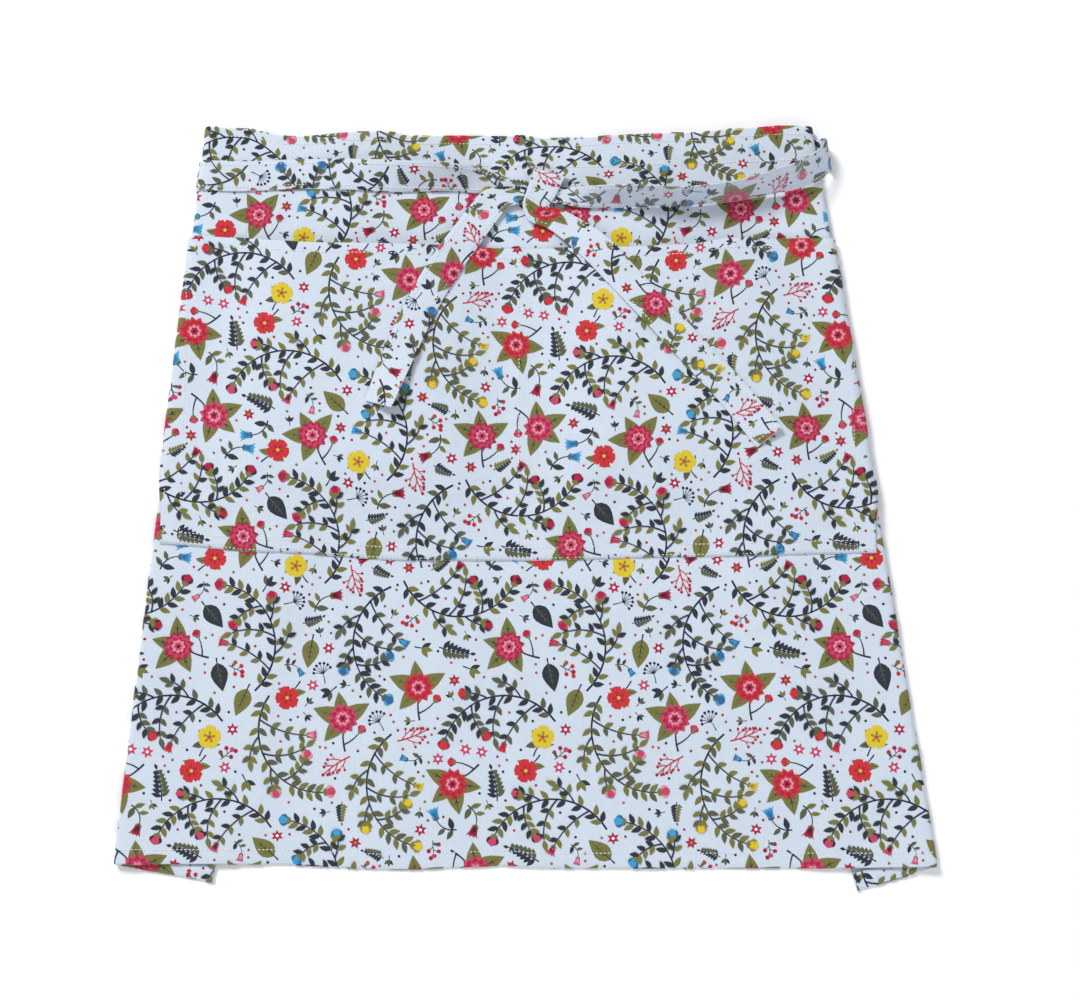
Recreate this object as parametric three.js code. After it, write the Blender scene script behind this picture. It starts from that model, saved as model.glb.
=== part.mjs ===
// Half apron for gardening: one cloth with a casing along the waist, a wide two-part patch pocket and two ties.
// It lies as it is put away for display: both sides folded behind on slanted lines, and the ties brought round
// the folded sides from behind and tied once in front. Millimetres and degrees: X runs across the apron,
// Y from the hem up to the waist, and Z up from the surface that it lies on.
import * as THREE from "three";

// Cloth
const clothThickness = 1;
const layerGap = 0.3;
const foldRadius = 2.6;

// Apron cloth, hemmed and before its sides are folded behind
const panelWidth = 720;
const panelHeight = 557;
const hemDepth = 12;
const casingDepth = 36;

// Patch pocket
const pocketWidth = 524;
const pocketHeight = 237;
const mouthDrop = 98;
const pocketRoom = 6;
const pocketEase = 75;
const pocketProud = 1.2;
const seamInset = 12;

// Ties
const tieWidth = 24;
const tieThickness = 1.2;
const tieDrop = 42;
const tieLap = 12;
const tieGap = 0.45;
const knotDrop = 54;
const knotLayer = 2.4;
const leftTailLength = 171;
const rightTailLength = 223;

// How far the edges of the laid cloth bow out of a straight line, and how high its creases stand
const waistSag = 9;
const hemBow = 4;
const mouthSag = 9;
const pocketBow = 10;
const creaseRise = 0.8;
const edgeBlend = 60;

// How far a raised stretch takes to sink to what lies beneath it
const foldEase = 40;
const flapEase = 40;
const liftEase = 120;
const crossEase = 36;
const mouthEase = 28;
const mouthMargin = 4;

// Where the sides are folded, as shares of half the cloth's width
const sideFolds = {
  left: { side: -1, atHem: 0.8, atWaist: 0.664 },
  right: { side: 1, atHem: 0.832, atWaist: 0.622 },
};

// Edge shapes: a place as a share of the half width, and a height as a share of that edge's bow
const hemShape = [
  { across: -0.8, up: 1 },
  { across: -0.5, up: 1 },
  { across: -0.23, up: 0.08 },
  { across: -0.02, up: 0.75 },
  { across: 0.04, up: 0.33 },
  { across: 0.66, up: 0.33 },
  { across: 0.83, up: 0.5 },
];
const waistShape = [
  { across: -0.66, up: 0.85 },
  { across: -0.58, up: 0.75 },
  { across: -0.48, up: 0.08 },
  { across: -0.34, up: 0.48 },
  { across: -0.28, up: 0.6 },
  { across: -0.22, up: 0.27 },
  { across: 0, up: 0.25 },
  { across: 0.06, up: 0.05 },
  { across: 0.36, up: 0.42 },
  { across: 0.46, up: 0.8 },
  { across: 0.56, up: 1 },
  { across: 0.62, up: 0.9 },
];
const mouthShape = [
  { across: -0.94, up: 1.05 },
  { across: -0.54, up: 0.35 },
  { across: -0.03, up: 0.05 },
  { across: 0.3, up: 0 },
  { across: 0.48, up: 0.2 },
  { across: 0.62, up: 0.8 },
  { across: 0.9, up: 0.85 },
];
const pocketFootShape = [
  { across: -1, up: 1.15 },
  { across: -0.7, up: 0.58 },
  { across: -0.29, up: 0 },
  { across: 0, up: 0 },
  { across: 0.5, up: 0.28 },
  { across: 1, up: 0.5 },
];

// Pressed creases: where each meets the hem and the waist as shares of the half width, the stretch of the
// height that it runs over, its height as a share of creaseRise, and its half width as a share of casingDepth
const creases = [
  { atHem: 0, atWaist: 0, from: -0.1, to: 1.1, rise: 1, reach: 0.4 },
  { atHem: -0.51, atWaist: -0.5, from: -0.1, to: 0.34, rise: 0.8, reach: 0.5 },
  { atHem: -0.36, atWaist: -0.36, from: 0.82, to: 1.1, rise: 1, reach: 0.6 },
  { atHem: 0.38, atWaist: 0.36, from: 0.05, to: 0.42, rise: 0.6, reach: 0.5 },
];

// Where the ties cross behind: the middle and the half length of the raised stretch, as shares of half the
// cloth's width, and its lower and upper limits as shares of tieDrop below the waist edge
const crossing = { middle: 0.058, reach: 0.2, upper: 1, lower: 2.25 };

// Behind, each tie runs on the surface below the cloth. across is a share of half the cloth's width and down
// a share of tieDrop below the waist edge, over counts the ties beneath, and heading is the way it runs.
const leftTieBehind = [
  { across: 0.217, down: 1.405, over: 1, heading: 193 },
  { across: 0.111, down: 1.64, over: 1, heading: 192 },
  { across: 0, down: 1.83, over: 1, heading: 188 },
  { across: -0.1, down: 1.94, over: 1, heading: 183 },
  { across: -0.18, down: 1.95, over: 0, heading: 179 },
  { across: -0.28, down: 1.9, over: 0, heading: 174 },
  { across: -0.4, down: 1.72, over: 0, heading: 166 },
  { across: -0.54, down: 1.36, over: 0, heading: 162 },
];
const rightTieBehind = [
  { across: -0.167, down: 1.21, over: 0, heading: -13 },
  { across: 0, down: 1.57, over: 0, heading: -14 },
  { across: 0.139, down: 1.86, over: 0, heading: -10 },
  { across: 0.278, down: 2, over: 0, heading: 0 },
  { across: 0.389, down: 1.93, over: 0, heading: 14 },
  { across: 0.489, down: 1.62, over: 0, heading: 30 },
  { across: 0.556, down: 1.19, over: 0, heading: 36 },
  { across: 0.594, down: 0.8, over: 0, heading: 33 },
];

// The right tie stands clear of the folded side as it comes round: beyond is its distance past the edge as a
// share of tieWidth, and climb runs from 0 on the surface behind to 1 on the front of the apron.
const rightTieTurn = [
  { beyond: -0.17, down: 0.548, climb: 0, turned: 118, lean: 0 },
  { beyond: 0.05, down: 0.512, climb: 0.03, turned: 113, lean: 0 },
  { beyond: 0.26, down: 0.524, climb: 0.33, turned: 106, lean: 6 },
  { beyond: 0.33, down: 0.571, climb: 0.68, turned: 101, lean: 17 },
  { beyond: 0.2, down: 0.69, climb: 0.9, turned: 98, lean: 28 },
  { beyond: -0.1, down: 0.845, climb: 1, turned: 101, lean: 38 },
];

// In front, turned is the way of the tie's width, lean how far its upper edge stands up, wide its width and
// hover its height above its seat, both as shares of tieWidth
const leftTieFront = [
  { across: -0.606, down: 0.981, turned: 95, lean: 0, wide: 1 },
  { across: -0.528, down: 0.952, turned: 92, lean: 0, wide: 1 },
  { across: -0.461, down: 0.93, turned: 90, lean: 0, wide: 1 },
  { across: -0.389, down: 0.938, turned: 89, lean: 4, wide: 1 },
  { across: -0.311, down: 0.967, turned: 88, lean: 14, wide: 1 },
  { across: -0.25, down: 0.995, turned: 87, lean: 28, wide: 1 },
  { across: -0.189, down: 1.024, turned: 87, lean: 40, wide: 1 },
  { across: -0.133, down: 1.048, turned: 86, lean: 44, wide: 0.95 },
  { across: -0.092, down: 1.07, turned: 86, lean: 28, wide: 0.85 },
  { across: -0.058, down: 1.1, turned: 84, lean: 8, wide: 0.7 },
];
const rightTieFront = [
  { across: 0.583, down: 1.06, turned: 104, lean: 52, wide: 1, hover: 0.07 },
  { across: 0.528, down: 1.19, turned: 105, lean: 62, wide: 1, hover: 0.08 },
  { across: 0.472, down: 1.31, turned: 101, lean: 69, wide: 1, hover: 0.03 },
  { across: 0.403, down: 1.4, turned: 96, lean: 72, wide: 1, hover: 0.01 },
  { across: 0.328, down: 1.445, turned: 92, lean: 73, wide: 1, hover: 0.01 },
  { across: 0.256, down: 1.44, turned: 88, lean: 68, wide: 1, hover: 0.01 },
  { across: 0.186, down: 1.417, turned: 88, lean: 54, wide: 0.88, hover: 0.01 },
  { across: 0.136, down: 1.393, turned: 90, lean: 34, wide: 0.7, hover: 0.04 },
];

// The knot, in tie widths right of and above its middle, with the layers of the knot beneath each place
const leftTieKnot = [
  { right: -1.04, up: 0.25, turned: 82, wide: 0.6, over: 0 },
  { right: -0.46, up: 0.04, turned: 90, wide: 0.5, over: 0 },
  { right: 0.04, up: 0.08, turned: 128, wide: 0.5, over: 0 },
  { right: 0.33, up: 0.38, turned: 158, wide: 0.75, over: 0 },
  { right: 0.46, up: 0.72, turned: 168, wide: 1.05, over: 1 },
  { right: 0.33, up: 0.36, turned: 166, wide: 0.98, over: 2 },
  { right: 0.15, up: -0.08, turned: 166, wide: 0.92, over: 2 },
  { right: 0, up: -0.48, turned: 185, wide: 0.85, over: 1.5 },
  { right: 0.12, up: -0.71, turned: 212, wide: 0.8, over: 0.9 },
  { right: 0.5, up: -0.81, turned: 228, wide: 0.8, over: 0.4 },
  { right: 0.96, up: -1.08, turned: 226, wide: 0.86, over: 0 },
];
const rightTieKnot = [
  { right: 0.88, up: -0.12, turned: 92, wide: 0.55, over: 1 },
  { right: 0.21, up: -0.08, turned: 92, wide: 0.5, over: 1 },
  { right: -0.38, up: -0.08, turned: 96, wide: 0.5, over: 1 },
  { right: -0.83, up: -0.12, turned: 120, wide: 0.7, over: 1.1 },
  { right: -1.25, up: -0.21, turned: 146, wide: 0.95, over: 1.2 },
  { right: -1.62, up: -0.62, turned: 150, wide: 1, over: 0.6 },
];

// The tails: each run as a share of the tail's length, the way it heads, and how its width leans
const leftTail = [
  { run: 0.17, heading: -124, lean: 0 },
  { run: 0.17, heading: -123, lean: 0 },
  { run: 0.17, heading: -118, lean: 0 },
  { run: 0.17, heading: -114, lean: -4 },
  { run: 0.17, heading: -112, lean: -12 },
  { run: 0.15, heading: -110, lean: -24 },
];
const rightTail = [
  { run: 0.126, heading: -41, lean: 0 },
  { run: 0.134, heading: -48, lean: 0 },
  { run: 0.134, heading: -48, lean: 4 },
  { run: 0.134, heading: -48, lean: 4 },
  { run: 0.134, heading: -48, lean: 0 },
  { run: 0.134, heading: -48, lean: 0 },
  { run: 0.126, heading: -52, lean: -4 },
  { run: 0.078, heading: -53, lean: -8 },
];

// Mesh spacing
const rollSteps = 6;
const turnSteps = 3;
const tieSteps = 4;
const bunchSpacing = 0.5;
const panelColumns = [
  0, 0.055, 0.17, 0.29, 0.37, 0.42, 0.47, 0.52, 0.57, 0.62, 0.67, 0.72, 0.78, 0.85, 0.93, 1,
];
const panelRows = [0, 0.03, 0.1, 0.19, 0.28, 0.36, 0.44, 0.52, 0.6, 0.69, 0.76, 0.8, 0.84, 0.88, 0.92, 0.96, 1];
const pocketColumns = [0, 0.055, 0.15, 0.28, 0.42, 0.53, 0.62, 0.7, 0.78, 0.86, 0.93, 1];
const pocketRows = [
  0, 0.06, 0.12, 0.165, 0.21, 0.255, 0.3, 0.345, 0.39, 0.435, 0.48, 0.53, 0.62, 0.74, 0.85, 0.93, 1,
];
const flapShares = [0.5, 1];

// Sizes that follow from those above
const layer = clothThickness + layerGap;
const tieLayer = tieThickness + layerGap;
const halfWidth = panelWidth / 2;
const halfPocket = pocketWidth / 2;
const roll = Math.PI * foldRadius;
const mouthHeight = panelHeight - mouthDrop;
const pocketFoot = mouthHeight - pocketHeight;
const lift = Math.max(layer, tieLayer);
const onFlap = clothThickness + 2 * layer + layerGap;
const foldHeight = clothThickness + 2 * foldRadius;
const pocketCeiling = lift + onFlap + clothThickness + pocketRoom;
const knotPlace = { x: 0.036 * halfWidth, y: panelHeight - knotDrop };

const { clamp, degToRad, lerp, radToDeg, smoothstep } = THREE.MathUtils;

// Height of an edge shape at a place, easing from row to row
function shapeAt(rows, across) {
  const after = rows.findIndex((row) => row.across > across);
  if (after === 0) return rows[0].up;
  if (after < 0) return rows[rows.length - 1].up;
  const [from, to] = [rows[after - 1], rows[after]];
  return lerp(from.up, to.up, smoothstep(across, from.across, to.across));
}

// A side fold: the line where its bend starts, with the directions along it and out of the apron
function foldLine({ side, atHem, atWaist }) {
  const hem = new THREE.Vector2(side * atHem * halfWidth, 0);
  const waist = new THREE.Vector2(side * atWaist * halfWidth, panelHeight);
  const along = waist.clone().sub(hem).normalize();
  const out = new THREE.Vector2(side * along.y, -side * along.x);
  const start = hem.addScaledVector(out, -(foldRadius + clothThickness));
  const acrossAt = (y) => start.x + (along.x / along.y) * (y - start.y);
  return { side, along, out, start, acrossAt };
}

const leftFold = foldLine(sideFolds.left);
const rightFold = foldLine(sideFolds.right);
const folds = [leftFold, rightFold];

// Where the wrapped corners of the pocket start, which with the ties lift the upper half of the apron
function wrapStart({ side, start, along }) {
  return start.y + ((side * halfPocket - start.x) * along.y) / along.x;
}
const liftedFrom = Math.max(pocketFoot, Math.min(wrapStart(leftFold), wrapStart(rightFold)));

// Height of what lies behind the cloth: the pocket's corners, the ties, and the ties' crossing
function backing(x, y) {
  const upper = smoothstep(y, liftedFrom - liftEase, liftedFrom);
  const reach = crossing.reach * halfWidth;
  const off = Math.abs(x - crossing.middle * halfWidth);
  const below = panelHeight - y;
  const beside = 1 - smoothstep(off, reach, reach + crossEase);
  const from = smoothstep(below, crossing.upper * tieDrop - crossEase, crossing.upper * tieDrop);
  const to = 1 - smoothstep(below, crossing.lower * tieDrop, crossing.lower * tieDrop + crossEase);
  return lift * upper + tieLayer * beside * from * to;
}

// How far a place in front is inside a fold, and how fully the folded flap lies beneath it
function insideFold(fold, x, y) {
  return -fold.out.dot(new THREE.Vector2(x, y).sub(fold.start));
}

function flapBeneath(fold, x, y) {
  const inside = insideFold(fold, x, y);
  const across = x + (roll + 2 * inside) * fold.out.x;
  const toEdge = halfWidth - Math.abs(across);
  return smoothstep(toEdge, -flapEase, 0);
}

function creaseHeight(x, y) {
  const heights = creases.map((crease) => {
    const share = y / panelHeight;
    const middle = halfWidth * lerp(crease.atHem, crease.atWaist, share);
    const reach = crease.reach * casingDepth;
    const ends = smoothstep(share, crease.from, crease.from + 0.1) * (1 - smoothstep(share, crease.to - 0.1, crease.to));
    return creaseRise * crease.rise * ends * (1 - smoothstep(Math.abs(x - middle), 0, reach));
  });
  return Math.max(...heights);
}

// Heights of the wrong side of the cloth, in front and on the flaps behind
function frontHeight(x, y) {
  const flap = Math.max(...folds.map((fold) => flapBeneath(fold, x, y)));
  const puff = Math.max(...folds.map((fold) => 1 - smoothstep(insideFold(fold, x, y), 0, foldEase)));
  const rest = lerp(layer, onFlap, flap);
  return backing(x, y) + rest + (foldHeight - rest) * puff + creaseHeight(x, y) * (1 - puff);
}

function backHeight(x, y) {
  return clothThickness + backing(x, y);
}

// Places a point of the unfolded cloth, off above its wrong side, with the sides folded behind
function laid(x, y, off) {
  for (const fold of folds) {
    const from = new THREE.Vector2(x, y).sub(fold.start);
    const out = fold.out.dot(from);
    if (out <= 0) continue;
    const foot = fold.start.clone().addScaledVector(fold.along, fold.along.dot(from));
    const top = frontHeight(foot.x, foot.y);
    const bottom = backHeight(foot.x, foot.y);
    if (out < roll) {
      const bend = out / foldRadius;
      const place = foot.addScaledVector(fold.out, (foldRadius + off) * Math.sin(bend));
      const height = lerp(bottom, top, (1 + Math.cos(bend)) / 2) + off * Math.cos(bend);
      return new THREE.Vector3(place.x, place.y, height);
    }
    const place = foot.addScaledVector(fold.out, roll - out);
    return new THREE.Vector3(place.x, place.y, backHeight(place.x, place.y) - off);
  }
  return new THREE.Vector3(x, y, frontHeight(x, y) + off);
}

// A closed slab of cloth: a box whose grid lines are placed by place(column, row, face), face 0 below and 1 above
function slab(columns, rows, place) {
  const shape = new THREE.BoxGeometry(1, 1, 1, columns, rows, 1);
  const spots = shape.attributes.position;
  for (let i = 0; i < spots.count; i += 1) {
    const column = Math.round((spots.getX(i) + 0.5) * columns);
    const row = Math.round((spots.getY(i) + 0.5) * rows);
    const spot = place(column, row, spots.getZ(i) + 0.5);
    spots.setXYZ(i, spot.x, spot.y, spot.z);
  }
  shape.computeVertexNormals();
  return shape;
}

function cloth(color, roughness) {
  return new THREE.MeshStandardMaterial({ color, roughness, metalness: 0 });
}

function named(name, shape, material) {
  const mesh = new THREE.Mesh(shape, material);
  mesh.name = name;
  return mesh;
}

// Rows of the apron cloth: the turned hem, the front and the turned casing, with the turn that each has made
function panelRowList() {
  const turnRadius = layerGap / 2 + clothThickness;
  const hem = turnRadius;
  const waist = panelHeight - turnRadius;
  const rows = [{ y: hemDepth, edge: -1, turn: Math.PI }];
  for (let i = turnSteps; i > 0; i -= 1) rows.push({ y: hem, edge: -1, turn: (Math.PI * i) / turnSteps });
  for (const share of panelRows) rows.push({ y: lerp(hem, waist, share), edge: 1, turn: 0 });
  for (let i = 1; i <= turnSteps; i += 1) rows.push({ y: waist, edge: 1, turn: (Math.PI * i) / turnSteps });
  rows.push({ y: panelHeight - casingDepth / 2, edge: 1, turn: Math.PI });
  rows.push({ y: panelHeight - casingDepth, edge: 1, turn: Math.PI });
  return rows;
}

// Columns of the apron cloth: shares of the way to each fold, then round the fold, then over its flap
function panelColumnList() {
  const half = (fold) => [
    ...panelColumns.slice(1).map((share) => ({ fold, share })),
    ...Array.from({ length: rollSteps }, (_, i) => ({ fold, past: (roll * (i + 1)) / rollSteps })),
    ...flapShares.map((flap) => ({ fold, flap })),
  ];
  return [...half(leftFold).reverse(), { fold: rightFold, share: 0 }, ...half(rightFold)];
}

function panelAcross({ fold, share, past, flap }, y) {
  const start = fold.acrossAt(y);
  const edge = fold.side * halfWidth;
  if (share !== undefined) return share * start;
  if (past !== undefined) return start + (past / fold.out.x);
  return lerp(start + roll / fold.out.x, edge, flap);
}

function edgeShift(x, y) {
  const across = x / halfWidth;
  const hem = hemBow * shapeAt(hemShape, across) * (1 - smoothstep(y, 0, edgeBlend));
  const waist = waistSag * (shapeAt(waistShape, across) - 1) * smoothstep(y, panelHeight - edgeBlend, panelHeight);
  return hem + waist;
}

function apronCloth() {
  const rows = panelRowList();
  const columns = panelColumnList();
  return slab(columns.length - 1, rows.length - 1, (i, j, face) => {
    const { y, edge, turn } = rows[j];
    const reach = layerGap / 2 + face * clothThickness;
    const up = y + edge * reach * Math.sin(turn);
    const off = reach * Math.cos(turn) - layerGap / 2;
    const x = panelAcross(columns[i], y);
    return laid(x, up + edgeShift(x, y), off);
  });
}

// Height between the apron cloth and the pocket's wrong side: sewn down at its seams, roomy between them
function pocketLift(x, y) {
  const toSide = halfPocket - seamInset - Math.abs(x);
  const inside = Math.min(...folds.map((fold) => insideFold(fold, x, y)));
  const room = Math.min(
    smoothstep(toSide, 0, pocketEase),
    smoothstep(inside, foldEase / 4, pocketEase),
    smoothstep(Math.abs(x), seamInset / 2, pocketEase),
    smoothstep(y, footHeight(x) + seamInset, footHeight(x) + seamInset + pocketEase),
  );
  return layer + room * Math.max(0, pocketCeiling - frontHeight(x, y) - layer);
}

// How far the pocket stands proud of the cloth as it goes round a fold
function proudAt(x, y) {
  const bends = folds.map((fold) => clamp(-insideFold(fold, x, y) / foldRadius, 0, Math.PI));
  return pocketProud * Math.sin(Math.max(...bends));
}

function footHeight(x) {
  return pocketFoot + pocketBow * shapeAt(pocketFootShape, x / halfPocket);
}

function mouthAt(x) {
  return mouthHeight + mouthSag * shapeAt(mouthShape, x / halfPocket);
}

// Columns of the pocket follow the folds where it reaches them, and close up at its sides where it doesn't
function pocketAcross(place, y) {
  const { fold, share, past, flap, fromEdge } = place;
  const start = fold.acrossAt(y);
  const edge = fold.side * halfPocket;
  const reach = Math.min(Math.abs(start), halfPocket - fromEdge * bunchSpacing);
  if (share !== undefined) return share * fold.side * reach;
  const bend = past ?? lerp(roll, Math.max(roll, fold.side * (edge - start)), flap);
  const wanted = Math.abs(start) + bend / Math.abs(fold.out.x);
  return fold.side * Math.min(wanted, halfPocket - fromEdge * bunchSpacing);
}

function pocketColumnList() {
  const half = (fold) => {
    const round = [
      ...Array.from({ length: rollSteps }, (_, i) => ({ fold, past: (roll * (i + 1)) / rollSteps })),
      ...flapShares.map((flap) => ({ fold, flap })),
    ];
    const front = pocketColumns.slice(1).map((share) => ({ fold, share, fromEdge: round.length }));
    return [...front, ...round.map((place, i) => ({ ...place, fromEdge: round.length - 1 - i }))];
  };
  return [...half(leftFold).reverse(), { fold: rightFold, share: 0, fromEdge: 0 }, ...half(rightFold)];
}

function frontPocket() {
  const columns = pocketColumnList();
  return slab(columns.length - 1, pocketRows.length - 1, (i, j, face) => {
    let y = lerp(pocketFoot, mouthHeight, pocketRows[j]);
    let x = 0;
    for (let pass = 0; pass < 3; pass += 1) {
      x = pocketAcross(columns[i], y);
      y = lerp(footHeight(x), mouthAt(x), pocketRows[j]);
    }
    return laid(x, y, pocketLift(x, y) + proudAt(x, y) + face * clothThickness);
  });
}

// Height of the apron's upper face, which eases down past the pocket's mouth as a tie lying across it does
function clothTop(x, y) {
  const inPocket = Math.min(y, mouthAt(x));
  const past = y - mouthAt(x) - mouthMargin;
  const sewn = inPocket > footHeight(x) ? pocketLift(x, inPocket) : 0;
  return frontHeight(x, y) + clothThickness + sewn * (1 - smoothstep(past, 0, mouthEase));
}

// The middle of a casing's end on its folded flap, and the way that the casing heads there
function casingEnd({ side, out }) {
  const spot = laid(side * halfWidth, panelHeight - casingDepth / 2, 0);
  const heading = new THREE.Vector2(side, 0).addScaledVector(out, -2 * side * out.x);
  return { x: spot.x, y: spot.y, heading };
}

// Rows of a tie's route: x, y, climb from the surface behind to the front, over (layers beneath), turned (the
// way of its width), lean, wide and hover. Quarter is the turn from the way that the tie runs to its width.
function lappedRows(fold, quarter) {
  const { x, y, heading } = casingEnd(fold);
  const turned = (radToDeg(heading.angle()) + quarter) % 360;
  return [1, 0].map((share) => ({
    x: x - share * tieLap * heading.x,
    y: y - share * tieLap * heading.y,
    climb: 0,
    over: 0,
    turned,
    lean: 0,
    wide: 1,
  }));
}

function atWaist({ across, down }) {
  return { x: across * halfWidth, y: panelHeight - down * tieDrop };
}

function behindRows(rows, quarter) {
  return rows.map(({ over, heading, ...place }) => ({
    ...atWaist(place),
    over,
    climb: 0,
    turned: heading + quarter,
    lean: 0,
    wide: 1,
  }));
}

function frontRows(rows) {
  return rows.map((row) => ({ ...row, ...atWaist(row), over: 0, climb: 1 }));
}

function edgeRows(fold, down, slope) {
  const reach = foldRadius + clothThickness + tieGap + tieThickness / 2;
  const at = panelHeight - down * tieDrop;
  const angles = [180, 135, 90, 45, 0];
  return angles.map((angle) => {
    const bend = degToRad(angle);
    const along = slope * reach * (Math.PI / 2 - bend);
    const centre = new THREE.Vector2(fold.acrossAt(at), at).addScaledVector(fold.along, along);
    const place = centre.addScaledVector(fold.out, reach * Math.sin(bend));
    const turned = radToDeg(Math.atan2(fold.along.y, fold.along.x));
    return { x: place.x, y: place.y, climb: (1 + Math.cos(bend)) / 2, over: 0, turned, lean: 0, wide: 1 };
  });
}

function turnRows(fold, rows) {
  return rows.map((row) => {
    const y = panelHeight - row.down * tieDrop;
    const edge = fold.acrossAt(y) + (foldRadius + clothThickness) * fold.out.x;
    return { over: 0, wide: 1, ...row, x: edge + fold.side * row.beyond * tieWidth, y };
  });
}

function knotRows(rows) {
  return rows.map((row) => ({
    climb: 1,
    lean: 0,
    ...row,
    x: knotPlace.x + row.right * tieWidth,
    y: knotPlace.y + row.up * tieWidth,
  }));
}

function tailRows(from, rows, length) {
  const place = { x: from.x, y: from.y };
  return rows.map(({ run, heading, lean }) => {
    place.x += run * length * Math.cos(degToRad(heading));
    place.y += run * length * Math.sin(degToRad(heading));
    return { x: place.x, y: place.y, climb: 1, over: 0, turned: heading + 270, lean, wide: 1 };
  });
}

function seat({ x, y, climb, over, lean, wide, hover = 0 }) {
  const behind = tieThickness / 2 + over * tieLayer;
  const standing = (tieWidth / 2) * wide * Math.abs(Math.sin(degToRad(lean)));
  const above = tieGap + tieThickness / 2 + over * knotLayer + standing + hover * tieWidth;
  return lerp(behind, clothTop(x, y) + above, climb);
}

// A tie: a flat band that follows the rows of its route
function band(rows) {
  const middle = new THREE.CatmullRomCurve3(rows.map((row) => new THREE.Vector3(row.x, row.y, row.over)));
  const set = new THREE.CatmullRomCurve3(rows.map((row) => new THREE.Vector3(row.turned, row.lean, row.wide * 100)));
  const last = rows.length - 1;
  const at = (share) => {
    const flat = middle.getPoint(share);
    const { x: turned, y: lean, z: wide } = set.getPoint(share);
    const row = Math.min(Math.floor(share * last), last - 1);
    const part = share * last - row;
    const climb = clamp(lerp(rows[row].climb, rows[row + 1].climb, part), 0, 1);
    const hover = lerp(rows[row].hover ?? 0, rows[row + 1].hover ?? 0, part);
    const spot = { x: flat.x, y: flat.y, over: Math.max(0, flat.z), climb, lean, wide: wide / 100, hover };
    const centre = new THREE.Vector3(spot.x, spot.y, seat(spot));
    const level = Math.cos(degToRad(lean));
    const across = new THREE.Vector3(
      level * Math.cos(degToRad(turned)),
      level * Math.sin(degToRad(turned)),
      Math.sin(degToRad(lean)),
    );
    return { centre, across, climb, wide: spot.wide };
  };
  const count = last * tieSteps;
  const rings = Array.from({ length: count + 1 }, (_, i) => at(i / count));
  return slab(count, 2, (i, j, face) => {
    const { centre, across, climb, wide } = rings[i];
    const before = rings[Math.max(i - 1, 0)].centre;
    const after = rings[Math.min(i + 1, count)].centre;
    const ahead = after.clone().sub(before).normalize();
    const thick = ahead.cross(across).normalize();
    const spot = centre.clone().addScaledVector(across, (j / 2 - 0.5) * wide * tieWidth);
    spot.z += climb * (clothTop(spot.x, spot.y) - clothTop(centre.x, centre.y));
    return spot.addScaledVector(thick, (face - 0.5) * tieThickness);
  });
}

function leftTie() {
  const knot = knotRows(leftTieKnot);
  return band([
    ...lappedRows(rightFold, -90),
    ...behindRows(leftTieBehind, -90),
    ...edgeRows(leftFold, 1, 0.2),
    ...frontRows(leftTieFront),
    ...knot,
    ...tailRows(knot[knot.length - 1], rightTail, rightTailLength),
  ]);
}

function rightTie() {
  const knot = knotRows(rightTieKnot);
  return band([
    ...lappedRows(leftFold, 90),
    ...behindRows(rightTieBehind, 90),
    ...turnRows(rightFold, rightTieTurn),
    ...frontRows(rightTieFront),
    ...knot,
    ...tailRows(knot[knot.length - 1], leftTail, leftTailLength),
  ]);
}

const apron = new THREE.Group();
apron.add(
  named("apron_cloth", apronCloth(), cloth("#d3daea", 0.88)),
  named("front_pocket", frontPocket(), cloth("#d7deec", 0.88)),
  named("left_tie", leftTie(), cloth("#dbe1ee", 0.86)),
  named("right_tie", rightTie(), cloth("#cfd6e6", 0.86)),
);

// The origin is at the middle of the laid apron, on the surface beneath it
const extent = new THREE.Box3().setFromObject(apron);
const centre = extent.getCenter(new THREE.Vector3());
apron.position.set(-centre.x, -centre.y, -extent.min.z);
apron.updateMatrixWorld(true);

export default apron;
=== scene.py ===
"""A gardening apron of printed cotton, laid flat, with its sides folded behind and its ties knotted."""
import math
import random

import bmesh
import bpy
import numpy as np
from mathutils import Matrix, Vector


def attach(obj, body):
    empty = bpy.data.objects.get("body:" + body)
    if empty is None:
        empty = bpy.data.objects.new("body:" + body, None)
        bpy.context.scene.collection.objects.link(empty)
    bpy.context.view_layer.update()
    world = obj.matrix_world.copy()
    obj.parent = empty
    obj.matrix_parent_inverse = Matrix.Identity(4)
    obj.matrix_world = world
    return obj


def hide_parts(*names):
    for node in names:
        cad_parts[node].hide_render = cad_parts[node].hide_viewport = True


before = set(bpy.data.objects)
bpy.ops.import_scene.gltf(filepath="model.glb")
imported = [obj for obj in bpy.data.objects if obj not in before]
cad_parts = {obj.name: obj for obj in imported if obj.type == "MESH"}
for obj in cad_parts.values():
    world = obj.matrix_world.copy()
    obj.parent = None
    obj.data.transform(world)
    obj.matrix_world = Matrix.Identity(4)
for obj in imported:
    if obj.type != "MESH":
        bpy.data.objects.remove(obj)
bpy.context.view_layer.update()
MM = 0.001

# Sizes of the apron in millimetres, as in the part's source
CLOTH, GAP, FOLD_RADIUS = 1.0, 0.3, 2.6
PANEL_WIDTH, PANEL_HEIGHT, HEM_DEPTH, CASING_DEPTH = 720.0, 557.0, 12.0, 36.0
POCKET_WIDTH, POCKET_HEIGHT, MOUTH_DROP = 524.0, 237.0, 98.0
POCKET_ROOM, POCKET_EASE, POCKET_PROUD, SEAM_INSET = 6.0, 75.0, 1.2, 12.0
TIE_WIDTH, TIE_THICK, TIE_DROP, TIE_LAP, TIE_GAP = 24.0, 1.2, 42.0, 12.0, 0.45
KNOT_DROP, KNOT_LAYER, LEFT_TAIL_LENGTH, RIGHT_TAIL_LENGTH = 54.0, 2.4, 171.0, 223.0
WAIST_SAG, HEM_BOW, MOUTH_SAG, POCKET_BOW, CREASE_RISE, EDGE_BLEND = 9.0, 4.0, 9.0, 10.0, 0.8, 60.0
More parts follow.
